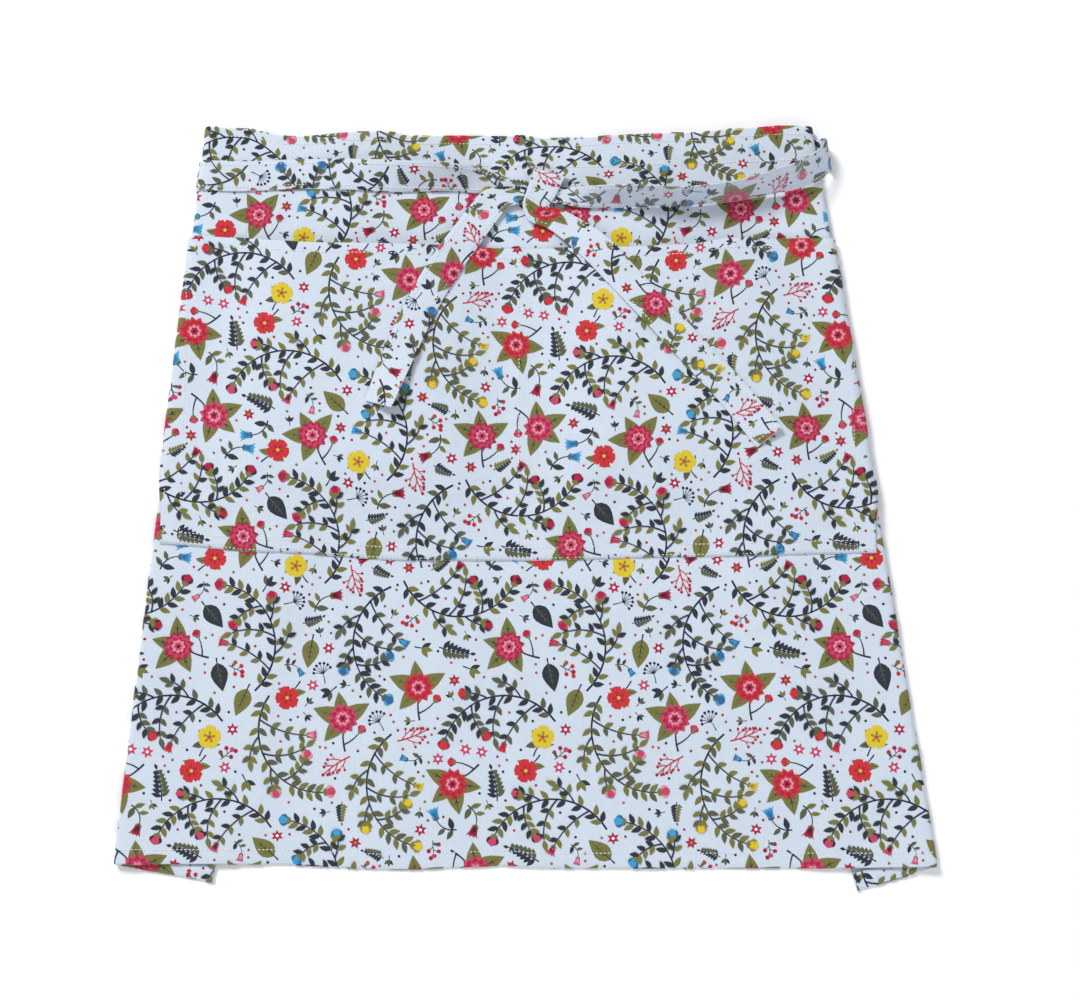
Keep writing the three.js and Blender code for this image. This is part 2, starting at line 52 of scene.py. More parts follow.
FOLD_EASE, FLAP_EASE, LIFT_EASE, CROSS_EASE, MOUTH_EASE, MOUTH_MARGIN = 40.0, 40.0, 120.0, 36.0, 28.0, 4.0
HALF, HALF_POCKET = PANEL_WIDTH / 2, POCKET_WIDTH / 2
LAYER, TIE_LAYER = CLOTH + GAP, TIE_THICK + GAP
ROLL = math.pi * FOLD_RADIUS
MOUTH_HEIGHT = PANEL_HEIGHT - MOUTH_DROP
POCKET_FOOT = MOUTH_HEIGHT - POCKET_HEIGHT
LIFT = max(LAYER, TIE_LAYER)
ON_FLAP = CLOTH + 2 * LAYER + GAP
FOLD_HEIGHT = CLOTH + 2 * FOLD_RADIUS
POCKET_CEILING = LIFT + ON_FLAP + CLOTH + POCKET_ROOM
KNOT_X, KNOT_Y = 0.036 * HALF, PANEL_HEIGHT - KNOT_DROP
CENTRE = np.array([5.78288, 271.43469, 0.0])

# Sizes of the dressed cloth alone: its thickness, its pressed and turned edges, its thread and its ink
CANVAS, FOOT_PRESSED, SEAM_PUCKER = 0.5, 0.6, 0.2
MOUTH_TURN, MOUTH_HEM = 0.5, 14.0
TIE_EDGE, TIE_END = 0.45, 1.5
TIE_FLAT, TIE_TURN = TIE_WIDTH - 1, math.pi * TIE_EDGE
STITCH, THREAD_HALF_WIDTH, THREAD_HALF_RISE, THREAD_SEAT = 2.9, 0.38, 0.28, 0.16
PAINT_RISE, PAINT_STEP, WRONG_SIDE_FADE = 0.14, 0.005, 0.16
WAIST_ROWS = (PANEL_HEIGHT - 7, PANEL_HEIGHT - 28)

# Edge shapes: places in shares of the half width, each with the share of the edge's bow there
HEM_SHAPE = [(-0.8, 1), (-0.5, 1), (-0.23, 0.08), (-0.02, 0.75), (0.04, 0.33), (0.66, 0.33), (0.83, 0.5)]
WAIST_SHAPE = [
    (-0.66, 0.85), (-0.58, 0.75), (-0.48, 0.08), (-0.34, 0.48), (-0.28, 0.6), (-0.22, 0.27), (0, 0.25),
    (0.06, 0.05), (0.36, 0.42), (0.46, 0.8), (0.56, 1), (0.62, 0.9),
]
MOUTH_SHAPE = [(-0.94, 1.05), (-0.54, 0.35), (-0.03, 0.05), (0.3, 0), (0.48, 0.2), (0.62, 0.8), (0.9, 0.85)]
FOOT_SHAPE = [(-1, 1.15), (-0.7, 0.58), (-0.29, 0), (0, 0), (0.5, 0.28), (1, 0.5)]
# Creases: place across at the hem and at the waist, start and end up the front, height and reach
CREASES = [
    (0, 0, -0.1, 1.1, 1, 0.4), (-0.51, -0.5, -0.1, 0.34, 0.8, 0.5), (-0.36, -0.36, 0.82, 1.1, 1, 0.6),
    (0.38, 0.36, 0.05, 0.42, 0.6, 0.5),
]
# Where the ties cross behind the waist, in shares of the half width and in tie drops
CROSSING = {"middle": 0.058, "reach": 0.2, "upper": 1, "lower": 2.25}


def ramp(value, low, high):
    share = np.clip((value - low) / (high - low), 0, 1)
    return share * share * (3 - 2 * share)


def lerp(a, b, share):
    return a + (b - a) * share


def shape_at(rows, across):
    """Height of an edge shape at a place, easing from row to row."""
    places = np.array([row[0] for row in rows], float)
    ups = np.array([row[1] for row in rows], float)
    after = np.clip(np.searchsorted(places, across, side="right"), 1, len(rows) - 1)
    return lerp(ups[after - 1], ups[after], ramp(across, places[after - 1], places[after]))


class Fold:
    """A side fold: the line where its bend starts, with the directions along it and out of the apron."""

    def __init__(self, side, at_hem, at_waist):
        hem, waist = np.array([side * at_hem * HALF, 0.0]), np.array([side * at_waist * HALF, PANEL_HEIGHT])
        self.side = side
        self.along = (waist - hem) / np.linalg.norm(waist - hem)
        self.out = np.array([side * self.along[1], -side * self.along[0]])
        self.start = hem - self.out * (FOLD_RADIUS + CLOTH)

    def across_at(self, y):
        return self.start[0] + self.along[0] / self.along[1] * (y - self.start[1])

    def past(self, x, y):
        return self.out[0] * (x - self.start[0]) + self.out[1] * (y - self.start[1])

    def wrap_start(self):
        return self.start[1] + (self.side * HALF_POCKET - self.start[0]) * self.along[1] / self.along[0]


LEFT, RIGHT = Fold(-1, 0.8, 0.664), Fold(1, 0.832, 0.622)
FOLDS = (LEFT, RIGHT)
LIFTED_FROM = max(POCKET_FOOT, min(LEFT.wrap_start(), RIGHT.wrap_start()))


def backing(x, y):
    upper = ramp(y, LIFTED_FROM - LIFT_EASE, LIFTED_FROM)
    reach, off, below = CROSSING["reach"] * HALF, np.abs(x - CROSSING["middle"] * HALF), PANEL_HEIGHT - y
    beside = 1 - ramp(off, reach, reach + CROSS_EASE)
    start = ramp(below, CROSSING["upper"] * TIE_DROP - CROSS_EASE, CROSSING["upper"] * TIE_DROP)
    end = 1 - ramp(below, CROSSING["lower"] * TIE_DROP, CROSSING["lower"] * TIE_DROP + CROSS_EASE)
    return LIFT * upper + TIE_LAYER * beside * start * end


def crease_height(x, y):
    share, highest = y / PANEL_HEIGHT, 0
    for at_hem, at_waist, low, high, rise, reach in CREASES:
        ends = ramp(share, low, low + 0.1) * (1 - ramp(share, high - 0.1, high))
        off = np.abs(x - HALF * lerp(at_hem, at_waist, share))
        beside = 1 - np.clip(off / (reach * CASING_DEPTH), 0, 1)
        highest = np.maximum(highest, CREASE_RISE * rise * ends * beside * beside)
    return highest


def rumple(x, y):
    """Shallow waves of cotton that was folded in a drawer, and short puckers along its sewn rows."""
    slow = np.sin(x / 41 + 1.7 * np.sin(y / 83)) * np.sin(y / 57 + 0.6 + np.sin(x / 97))
    mid = np.sin((x + 0.6 * y) / 17 + 2 * np.sin(y / 39)) * np.sin((y - 0.3 * x) / 23 + np.sin(x / 31))
    drawn = np.sin(x / 3.1 + 2.2 * np.sin(x / 13)) * (0.6 + 0.4 * np.sin(x / 29))
    rows = sum(np.exp(-((y - row) / 5.0) ** 2) for row in (HEM_DEPTH, *WAIST_ROWS))
    return 0.2 * slow + 0.11 * mid + 0.17 * drawn * rows


def front_height(x, y):
    """Height of the cloth's wrong side in front, over the folded sides and whatever lies behind."""
    flap, puff = 0, 0
    for fold in FOLDS:
        inside = -fold.past(x, y)
        across = x + (ROLL + 2 * inside) * fold.out[0]
        flap = np.maximum(flap, ramp(HALF - np.abs(across), -FLAP_EASE, 0))
        puff = np.maximum(puff, 1 - ramp(inside, 0, FOLD_EASE))
    rest = lerp(LAYER, ON_FLAP, flap)
    relief = crease_height(x, y) + rumple(x, y)
    return backing(x, y) + rest + (FOLD_HEIGHT - rest) * puff + relief * (1 - puff)


def laid(x, y, off):
    """Places points of the unfolded cloth, off above its wrong side, with the sides folded behind."""
    x, y, off = (np.asarray(a, float) for a in np.broadcast_arrays(x, y, off))
    spots = np.stack([x, y, front_height(x, y) + off], axis=-1)
    for fold in FOLDS:
        out = fold.past(x, y)
        foot_x, foot_y = x - out * fold.out[0], y - out * fold.out[1]
        top, bottom = front_height(foot_x, foot_y), CLOTH + backing(foot_x, foot_y)
        bend = out / FOLD_RADIUS
        reach = (FOLD_RADIUS + off) * np.sin(bend)
        rolled = np.stack([foot_x + fold.out[0] * reach, foot_y + fold.out[1] * reach,
                           lerp(bottom, top, (1 + np.cos(bend)) / 2) + off * np.cos(bend)], axis=-1)
        back_x, back_y = foot_x + fold.out[0] * (ROLL - out), foot_y + fold.out[1] * (ROLL - out)
        behind = np.stack([back_x, back_y, CLOTH + backing(back_x, back_y) - off], axis=-1)
        spots = np.where(((out > 0) & (out < ROLL))[..., None], rolled, spots)
        spots = np.where((out >= ROLL)[..., None], behind, spots)
    return spots


def edge_shift(x, y):
    across = x / HALF
    hem = HEM_BOW * shape_at(HEM_SHAPE, across) * (1 - ramp(y, 0, EDGE_BLEND))
    waist = WAIST_SAG * (shape_at(WAIST_SHAPE, across) - 1) * ramp(y, PANEL_HEIGHT - EDGE_BLEND, PANEL_HEIGHT)
    return hem + waist


TURN_RADIUS = GAP / 2 + CLOTH
TURN_ARC = math.pi * TURN_RADIUS
PANEL_TOP = PANEL_HEIGHT - TURN_RADIUS + TURN_ARC + CASING_DEPTH - TURN_RADIUS
PANEL_BOTTOM = TURN_RADIUS - TURN_ARC - (HEM_DEPTH - TURN_RADIUS)


def panel_place(x, run, rise=0.0):
    """The right side of the apron cloth at a place of its pattern: run goes round the hem and the casing."""
    x, run = np.asarray(x, float), np.asarray(run, float)
    low, high = TURN_RADIUS - run, run - (PANEL_HEIGHT - TURN_RADIUS)
    turn = np.clip(np.maximum(low, high) / TURN_RADIUS, 0, math.pi)
    side = np.where(high > 0, 1.0, -1.0)
    y = np.clip(run, TURN_RADIUS, PANEL_HEIGHT - TURN_RADIUS)
    y = y - side * np.clip(np.maximum(low, high) - TURN_ARC, 0, None)
    reach = TURN_RADIUS + rise
    up = y + side * reach * np.sin(turn)
    return laid(x, up + edge_shift(x, y), reach * np.cos(turn) - GAP / 2)


def foot_height(x):
    return POCKET_FOOT + POCKET_BOW * shape_at(FOOT_SHAPE, x / HALF_POCKET)


def mouth_at(x):
    return MOUTH_HEIGHT + MOUTH_SAG * shape_at(MOUTH_SHAPE, x / HALF_POCKET)


def pocket_lift(x, y):
    inside = np.minimum(-LEFT.past(x, y), -RIGHT.past(x, y))
    foot = foot_height(x) + SEAM_INSET
    room = np.minimum.reduce([
        ramp(HALF_POCKET - SEAM_INSET - np.abs(x), 0, POCKET_EASE),
        ramp(inside, FOLD_EASE / 4, POCKET_EASE),
        ramp(np.abs(x), SEAM_INSET / 2, POCKET_EASE),
        ramp(y, foot, foot + POCKET_EASE),
    ])
    return LAYER + room * np.maximum(0, POCKET_CEILING - front_height(x, y) - LAYER)


def pocket_place(x, run, rise=0.0):
    """The right side of the pocket: run goes up from its foot and over its mouth into the turned hem."""
    x, run = np.asarray(x, float), np.asarray(run, float)
    radius = MOUTH_TURN
    over = run - (POCKET_HEIGHT - radius)
    turn = np.clip(over / radius, 0, math.pi)
    height = np.minimum(run, POCKET_HEIGHT - radius) - np.clip(over - math.pi * radius, 0, None)
    y = lerp(foot_height(x), mouth_at(x), height / POCKET_HEIGHT) + (radius + rise) * np.sin(turn)
    bend = np.maximum.reduce([np.clip(fold.past(x, y) / FOLD_RADIUS, 0, math.pi) for fold in FOLDS])
    off = CLOTH - radius + (radius + rise) * np.cos(turn)
    # Sewn rows: the way along each, the distance from it and its puckers' reach
    seams = [(x, run, 3.0), (x, run - 8.5, 4.0), (x, POCKET_HEIGHT - 7 - run, 5.0),
             (run, HALF_POCKET - 14 - np.abs(x), 5.0), (run, x, 6.0)]
    drawn = sum(np.sin(along / 3.3 + 2 * np.sin(along / 15)) * np.exp(-(off_row / reach) ** 2)
                for along, off_row, reach in seams)
    pressed = FOOT_PRESSED * (1 - ramp(run, 0, 2 * SEAM_INSET))
    return laid(x, y, pocket_lift(x, y) + POCKET_PROUD * np.sin(bend) + off + SEAM_PUCKER * drawn - pressed)


def cloth_top(x, y):
    in_pocket = np.minimum(y, mouth_at(x))
    past = y - mouth_at(x) - MOUTH_MARGIN
    sewn = np.where(in_pocket > foot_height(x), pocket_lift(x, in_pocket), 0)
    return front_height(x, y) + CLOTH + sewn * (1 - ramp(past, 0, MOUTH_EASE))


# Routes of the ties, as in the part's source. Behind: across, tie drops down, layers over, heading
LEFT_BEHIND = [
    (0.217, 1.405, 1, 193), (0.111, 1.64, 1, 192), (0, 1.83, 1, 188), (-0.1, 1.94, 1, 183),
    (-0.18, 1.95, 0, 179), (-0.28, 1.9, 0, 174), (-0.4, 1.72, 0, 166), (-0.54, 1.36, 0, 162),
]
RIGHT_BEHIND = [
    (-0.167, 1.21, 0, -13), (0, 1.57, 0, -14), (0.139, 1.86, 0, -10), (0.278, 2, 0, 0),
    (0.389, 1.93, 0, 14), (0.489, 1.62, 0, 30), (0.556, 1.19, 0, 36), (0.594, 0.8, 0, 33),
]
# Round the right fold: tie widths beyond it, drops down, climb, turn of the tie's width, lean
RIGHT_TURN = [
    (-0.17, 0.548, 0, 118, 0), (0.05, 0.512, 0.03, 113, 0), (0.26, 0.524, 0.33, 106, 6),
    (0.33, 0.571, 0.68, 101, 17), (0.2, 0.69, 0.9, 98, 28), (-0.1, 0.845, 1, 101, 38),
]
# In front: across, drops down, turn, lean, share of the width, hover in tie widths
LEFT_FRONT = [
    (-0.606, 0.981, 95, 0, 1, 0), (-0.528, 0.952, 92, 0, 1, 0), (-0.461, 0.93, 90, 0, 1, 0),
    (-0.389, 0.938, 89, 4, 1, 0), (-0.311, 0.967, 88, 14, 1, 0), (-0.25, 0.995, 87, 28, 1, 0),
    (-0.189, 1.024, 87, 40, 1, 0), (-0.133, 1.048, 86, 44, 0.95, 0), (-0.092, 1.07, 86, 28, 0.85, 0),
    (-0.058, 1.1, 84, 8, 0.7, 0),
]
RIGHT_FRONT = [
    (0.583, 1.06, 104, 52, 1, 0.07), (0.528, 1.19, 105, 62, 1, 0.08), (0.472, 1.31, 101, 69, 1, 0.03),
    (0.403, 1.4, 96, 72, 1, 0.01), (0.328, 1.445, 92, 73, 1, 0.01), (0.256, 1.44, 88, 68, 1, 0.01),
    (0.186, 1.417, 88, 54, 0.88, 0.01), (0.136, 1.393, 90, 34, 0.7, 0.04),
]
# In the knot: tie widths right and up from its middle, turn, share of the width, layers over
LEFT_KNOT = [
    (-1.04, 0.25, 82, 0.6, 0), (-0.46, 0.04, 90, 0.5, 0), (0.04, 0.08, 128, 0.5, 0),
    (0.33, 0.38, 158, 0.75, 0), (0.46, 0.72, 168, 1.05, 1), (0.33, 0.36, 166, 0.98, 2),
    (0.15, -0.08, 166, 0.92, 2), (0, -0.48, 185, 0.85, 1.5), (0.12, -0.71, 212, 0.8, 0.9),
    (0.5, -0.81, 228, 0.8, 0.4), (0.96, -1.08, 226, 0.86, 0),
]
RIGHT_KNOT = [
    (0.88, -0.12, 92, 0.55, 1), (0.21, -0.08, 92, 0.5, 1), (-0.38, -0.08, 96, 0.5, 1),
    (-0.83, -0.12, 120, 0.7, 1.1), (-1.25, -0.21, 146, 0.95, 1.2), (-1.62, -0.62, 150, 1, 0.6),
]
# Tails: share of the length, heading, lean
LEFT_TAIL = [
    (0.17, -124, 0), (0.17, -123, 0), (0.17, -118, 0), (0.17, -114, -4), (0.17, -112, -12),
    (0.15, -110, -24),
]
RIGHT_TAIL = [
    (0.126, -41, 0), (0.134, -48, 0), (0.134, -48, 4), (0.134, -48, 4), (0.134, -48, 0), (0.134, -48, 0),
    (0.126, -52, -4), (0.078, -53, -8),
]


def route_row(x, y, climb, over, turned, lean=0.0, wide=1.0, hover=0.0):
    return [float(value) for value in (x, y, climb, over, turned, lean, wide, hover)]


def waist_y(down):
    return PANEL_HEIGHT - down * TIE_DROP


def lapped_rows(fold, quarter):
    end = laid(fold.side * HALF, PANEL_HEIGHT - CASING_DEPTH / 2, 0)
    heading = np.array([fold.side, 0.0]) - 2 * fold.side * fold.out[0] * fold.out
    turned = (math.degrees(math.atan2(heading[1], heading[0])) + quarter) % 360
    return [route_row(end[0] - s * TIE_LAP * heading[0], end[1] - s * TIE_LAP * heading[1], 0, 0, turned)
            for s in (1, 0)]


def edge_rows(fold, down, slope):
    reach = FOLD_RADIUS + CLOTH + TIE_GAP + TIE_THICK / 2
    at, turned = waist_y(down), math.degrees(math.atan2(fold.along[1], fold.along[0]))
    rows = []
    for angle in (180, 135, 90, 45, 0):
        bend = math.radians(angle)
        place = np.array([fold.across_at(at), at]) + fold.along * slope * reach * (math.pi / 2 - bend)
        place = place + fold.out * reach * math.sin(bend)
        rows.append(route_row(place[0], place[1], (1 + math.cos(bend)) / 2, 0, turned))
    return rows


def turn_rows(fold):
    rows = []
    for beyond, down, climb, turned, lean in RIGHT_TURN:
        y = waist_y(down)
        edge = fold.across_at(y) + (FOLD_RADIUS + CLOTH) * fold.out[0]
        rows.append(route_row(edge + fold.side * beyond * TIE_WIDTH, y, climb, 0, turned, lean))
    return rows


def behind_rows(rows, quarter):
    return [route_row(across * HALF, waist_y(down), 0, over, heading + quarter)
            for across, down, over, heading in rows]


def front_rows(rows):
    return [route_row(across * HALF, waist_y(down), 1, 0, turned, lean, wide, hover)
            for across, down, turned, lean, wide, hover in rows]


def knot_rows(rows):
    return [route_row(KNOT_X + right * TIE_WIDTH, KNOT_Y + up * TIE_WIDTH, 1, over, turned, 0, wide)
            for right, up, turned, wide, over in rows]


def tail_rows(start, rows, length):
    x, y, out = start[0], start[1], []
    for run, heading, lean in rows:
        x += run * length * math.cos(math.radians(heading))
        y += run * length * math.sin(math.radians(heading))
        out.append(route_row(x, y, 1, 0, heading + 270, lean))
    return out


def smooth_curve(points, share):
    """A centripetal Catmull-Rom curve through the points, as the part's source draws it."""
    last = len(points) - 1
    place = share * last
    i = min(int(place), last - 1)
    t = place - i
    p1, p2 = points[i], points[i + 1]
    p0 = points[i - 1] if i > 0 else 2 * points[0] - points[1]
    p3 = points[i + 2] if i + 2 <= last else 2 * points[last] - points[last - 1]
    d0, d1, d2 = (float(np.sum((a - b) ** 2)) ** 0.25 for a, b in ((p0, p1), (p1, p2), (p2, p3)))
    d1 = d1 if d1 > 1e-4 else 1.0
    d0, d2 = (d if d > 1e-4 else d1 for d in (d0, d2))
    t1 = ((p1 - p0) / d0 - (p2 - p0) / (d0 + d1) + (p2 - p1) / d1) * d1
    t2 = ((p2 - p1) / d1 - (p3 - p1) / (d1 + d2) + (p3 - p2) / d2) * d1
    return p1 + t1 * t + (3 * (p2 - p1) - 2 * t1 - t2) * t * t + (2 * (p1 - p2) + t1 + t2) * t ** 3


class Tie:
    """A tie as a flat band along its route: places of its pattern are found along its middle line."""

    def __init__(self, rows, samples=900):
        table = np.array(rows)
        places = np.stack([table[:, 0], table[:, 1], table[:, 3]], axis=1)
        sets = np.stack([table[:, 4], table[:, 5], table[:, 6] * 100], axis=1)
        shares = np.linspace(0, 1, samples)
        middle = np.array([smooth_curve(places, s) for s in shares])
        turned, lean, wide = np.array([smooth_curve(sets, s) for s in shares]).T
        steps = np.arange(len(rows))
        self.climb = np.clip(np.interp(shares * (len(rows) - 1), steps, table[:, 2]), 0, 1)
        hover = np.interp(shares * (len(rows) - 1), steps, table[:, 7])
        self.wide = wide / 100
        over = np.maximum(0, middle[:, 2])
        standing = TIE_WIDTH / 2 * self.wide * np.abs(np.sin(np.radians(lean)))
        above = TIE_GAP + TIE_THICK / 2 + over * KNOT_LAYER + standing + hover * TIE_WIDTH
        behind = TIE_THICK / 2 + over * TIE_LAYER
        self.top = cloth_top(middle[:, 0], middle[:, 1])
        height = lerp(behind, self.top + above, self.climb)
        self.centre = np.stack([middle[:, 0], middle[:, 1], height], axis=1)
        level, a = np.cos(np.radians(lean)), np.radians(turned)
        self.across = np.stack([level * np.cos(a), level * np.sin(a), np.sin(np.radians(lean))], axis=1)
        ahead = np.gradient(self.centre, axis=0)
        thick = np.cross(ahead / np.linalg.norm(ahead, axis=1)[:, None], self.across)
        self.thick = thick / np.linalg.norm(thick, axis=1)[:, None]
        steps = np.linalg.norm(np.diff(self.centre, axis=0), axis=1)
        self.run = np.concatenate([[0], np.cumsum(steps)])
        self.length = float(self.run[-1])

    def at(self, run, values):
        if values.ndim == 1:
            return np.interp(run, self.run, values)
        return np.stack([np.interp(run, self.run, values[:, k]) for k in range(values.shape[1])], axis=-1)

    def place(self, side, run, rise=0.0):
        """The pattern goes once round the tie: side runs over the front face, round an edge and back."""
        side, run = np.asarray(side, float), np.asarray(run, float)
        radius = TIE_EDGE * np.clip(np.minimum(run, self.length - run) / TIE_END, 0.15, 1)
        flat, arc = TIE_FLAT, TIE_TURN
        go = np.mod(side + flat / 2, 2 * (flat + arc))
        back, last = (go >= flat + arc) & (go < 2 * flat + arc), go >= 2 * flat + arc
        across = np.where(go < flat, go - flat / 2, flat / 2)
        across = np.where(back, flat / 2 - (go - flat - arc), across)
        across = np.where(last, -flat / 2, across)
        turn = np.clip((go - flat) / arc, 0, 1) * math.pi
        turn = np.where(last, math.pi * (1 + (go - 2 * flat - arc) / arc), turn)
        across = across + (radius + rise) * np.sin(turn)
        thick = (radius + rise) * np.cos(turn)
        wide, climb = self.at(run, self.wide), self.at(run, self.climb)
        centre, top = self.at(run, self.centre), self.at(run, self.top)
        # A narrowed tie bunches into pleats, and a flat one lies in slow waves
        bunched = np.clip(1 - wide, 0, 0.5)
        thick = thick + 1.1 * bunched * np.sin(across * 2 * math.pi / 8 + 0.4)
        thick = thick + 0.12 * np.sin(run / 9 + 2 * np.sin(run / 31)) * np.sin(across / 5 + run / 40)
        spots = centre + self.at(run, self.across) * (across * wide)[..., None]
        shift = climb * (cloth_top(spots[..., 0], spots[..., 1]) - top)
        spots = spots + self.at(run, self.thick) * thick[..., None]
        spots[..., 2] += shift
        return spots


left_knot, right_knot = knot_rows(LEFT_KNOT), knot_rows(RIGHT_KNOT)
LEFT_TIE = Tie(lapped_rows(RIGHT, -90) + behind_rows(LEFT_BEHIND, -90) + edge_rows(LEFT, 1, 0.2)
               + front_rows(LEFT_FRONT) + left_knot + tail_rows(left_knot[-1], RIGHT_TAIL, RIGHT_TAIL_LENGTH))
RIGHT_TIE = Tie(lapped_rows(LEFT, 90) + behind_rows(RIGHT_BEHIND, 90) + turn_rows(RIGHT)
                + front_rows(RIGHT_FRONT) + right_knot
                + tail_rows(right_knot[-1], LEFT_TAIL, LEFT_TAIL_LENGTH))

# The print: inks on a pale blue ground, as sRGB hex values
INKS = {
    "ground": "#CDD7E3", "olive": "#74733A", "leaf": "#565A44", "slate": "#2A2F38", "navy": "#161F40",
    "blue": "#2C6398", "sky": "#3A9BC6", "red": "#C62F31", "crimson": "#A81C3F", "pink": "#DC8C9C",
    "rose": "#C24263", "maroon": "#4A1128", "yellow": "#D9BE2A", "ochre": "#9A8434", "white": "#ECECEE",
}
INK_NAMES = list(INKS)
REPEAT, PRINT_SEED, TRIES = (240, 250), 23, 4000


def linear(hex_colour):
    """An sRGB hex value as linear red, green, blue and alpha."""
    parts = [int(hex_colour[i:i + 2], 16) / 255 for i in (1, 3, 5)]
    return tuple(c / 12.92 if c <= 0.04045 else ((c + 0.055) / 1.055) ** 2.4 for c in parts) + (1.0,)


# Outlines of petals and leaves: shares of the length, each with the share of the width there
PETAL = ((0.0, 0.14), (0.35, 0.66), (0.66, 1.0), (0.88, 0.74))
ROUND_PETAL = ((0.0, 0.16), (0.5, 0.86), (0.86, 0.92))
POINTED_PETAL = ((0.0, 0.2), (0.45, 0.9), (0.72, 0.9))
RAY = ((0.0, 0.3), (0.45, 1.0))
CUP = ((0.0, 0.3), (0.16, 0.72), (0.55, 0.86), (0.84, 1.15), (1.04, 1.5), (0.88, 0.8), (1.06, 0.5),
       (0.9, 0.2))
SMALL_LEAF = ((0.02, 0.1), (0.24, 0.8), (0.48, 1.0), (0.76, 0.62))
LARGE_LEAF = ((0.0, 0.12), (0.1, 0.62), (0.26, 0.96), (0.42, 1.0), (0.62, 0.78), (0.82, 0.4))
RIB, VEIN = ((0.0, 1.0), (0.6, 0.7)), ((0.0, 1.0), (0.6, 0.6))


class Motif:
    """Flat shapes of one motif in painter's order, drawn in a circle of radius 1."""

    def __init__(self):
        self.shapes = []

    def shape(self, points, ink):
        self.shapes.append(([(float(x), float(y)) for x, y in points], INK_NAMES.index(ink)))

    def spot(self, x, y, radius, ink, sides=6):
        angles = [2 * math.pi * k / sides for k in range(sides)]
        self.shape([(x + radius * math.cos(a), y + radius * math.sin(a)) for a in angles], ink)

    def petal(self, x, y, heading, length, width, ink, profile=PETAL):
        cos, sin = math.cos(heading), math.sin(heading)
        side = [(t * length, 0.5 * w * width) for t, w in profile]
        points = [(a, b) for a, b in side] + [(length, 0)] + [(a, -b) for a, b in reversed(side)]
        self.shape([(x + a * cos - b * sin, y + a * sin + b * cos) for a, b in points], ink)

    def leaf(self, x, y, heading, length, width, ink, rib=None):
        self.petal(x, y, heading, length, width, ink, SMALL_LEAF)
        if rib:
            self.petal(x, y, heading, 0.86 * length, 0.07, rib, VEIN)

    def veined_leaf(self, x, y, heading, length, width, ink, vein):
        self.petal(x, y, heading, length, width, ink, LARGE_LEAF)
        self.petal(x, y, heading, 0.92 * length, 0.055, vein, RIB)
        for share in (0.2, 0.38, 0.56):
            foot_x, foot_y = x + share * length * math.cos(heading), y + share * length * math.sin(heading)
            for turn in (-0.8, 0.8):
                self.petal(foot_x, foot_y, heading + turn, 0.5 * (1.06 - share) * width, 0.035, vein, VEIN)

    def line(self, points, width, ink, end_width):
        count = len(points) - 1
        for k in range(count):
            (x0, y0), (x1, y1) = points[k], points[k + 1]
            run = math.hypot(x1 - x0, y1 - y0)
            nx, ny = -(y1 - y0) / run, (x1 - x0) / run
            w0, w1 = (0.5 * lerp(width, end_width, (k + s) / count) for s in (0, 1))
            self.shape([(x0 - nx * w0, y0 - ny * w0), (x1 - nx * w1, y1 - ny * w1),
                        (x1 + nx * w1, y1 + ny * w1), (x0 + nx * w0, y0 + ny * w0)], ink)

    def stem(self, x, y, heading, length, bend, width, ink, steps=6):
        points = [(x, y)]
        for _ in range(steps):
            x, y = x + length / steps * math.cos(heading), y + length / steps * math.sin(heading)
            heading += bend / steps
            points.append((x, y))
        self.line(points, width, ink, 0.6 * width)
        return points, heading

    def ring(self, x, y, count, size, width, ink, shift=0.0, profile=ROUND_PETAL):
        for k in range(count):
            self.petal(x, y, shift + 2 * math.pi * k / count, size, width, ink, profile)

    def bloom(self, kind, x, y, r, inks, turn=0.0):
        first, second, third, heart = inks
        if kind == "dahlia":
            for count, size, width, ink in ((11, 1.0, 0.5, first), (10, 0.82, 0.42, second),
                                            (9, 0.62, 0.34, first), (8, 0.46, 0.28, third),
                                            (6, 0.3, 0.2, second)):
                self.ring(x, y, count, size * r, width * r, ink, turn + 0.3 * count, POINTED_PETAL)
            self.spot(x, y, 0.12 * r, heart)
        elif kind == "primrose":
            self.ring(x, y, 5, r, 0.98 * r, first, turn)
            self.ring(x, y, 5, 0.52 * r, 0.24 * r, second, turn)
            self.spot(x, y, 0.16 * r, heart)
        elif kind == "star":
            self.ring(x, y, 6, r, 0.5 * r, first, turn, RAY)
            self.spot(x, y, 0.26 * r, heart)
        elif kind == "bell":
            self.petal(x, y, turn, r, 0.66 * r, first, CUP)
            for way in (-0.24, 0.0, 0.24):
                self.petal(x, y, turn + way, 0.84 * r, 0.12 * r, second)
            for way in (-0.8, 0.8):
                self.petal(x, y, turn + way, 0.34 * r, 0.16 * r, third)
        elif kind == "bud":
            for way in (-0.42, 0.42):
                self.petal(x, y, turn + way, 0.9 * r, 0.6 * r, second)
            self.petal(x, y, turn, r, 0.72 * r, first)
            foot_x, foot_y = x - 0.1 * r * math.cos(turn), y - 0.1 * r * math.sin(turn)
            for way in (-0.7, 0.0, 0.7):
                self.petal(foot_x, foot_y, turn + way, 0.45 * r, 0.22 * r, heart)


FULL_INKS = [
    ("crimson", "rose", "pink", "maroon"), ("rose", "crimson", "pink", "maroon"),
    ("red", "crimson", "pink", "maroon"),
]
BLOOMS = [
    ("crimson", "maroon", "rose", "ochre"), ("red", "crimson", "maroon", "yellow"),
    ("sky", "blue", "navy", "white"), ("rose", "pink", "maroon", "yellow"),
    ("crimson", "rose", "maroon", "white"), ("blue", "sky", "navy", "yellow"),
    ("rose", "maroon", "navy", "white"), ("yellow", "ochre", "maroon", "red"),
]
LEAVES = [
    ("olive", "slate", "navy"), ("leaf", "slate", "navy"), ("slate", "leaf", "navy"),
    ("olive", "leaf", "slate"),
]


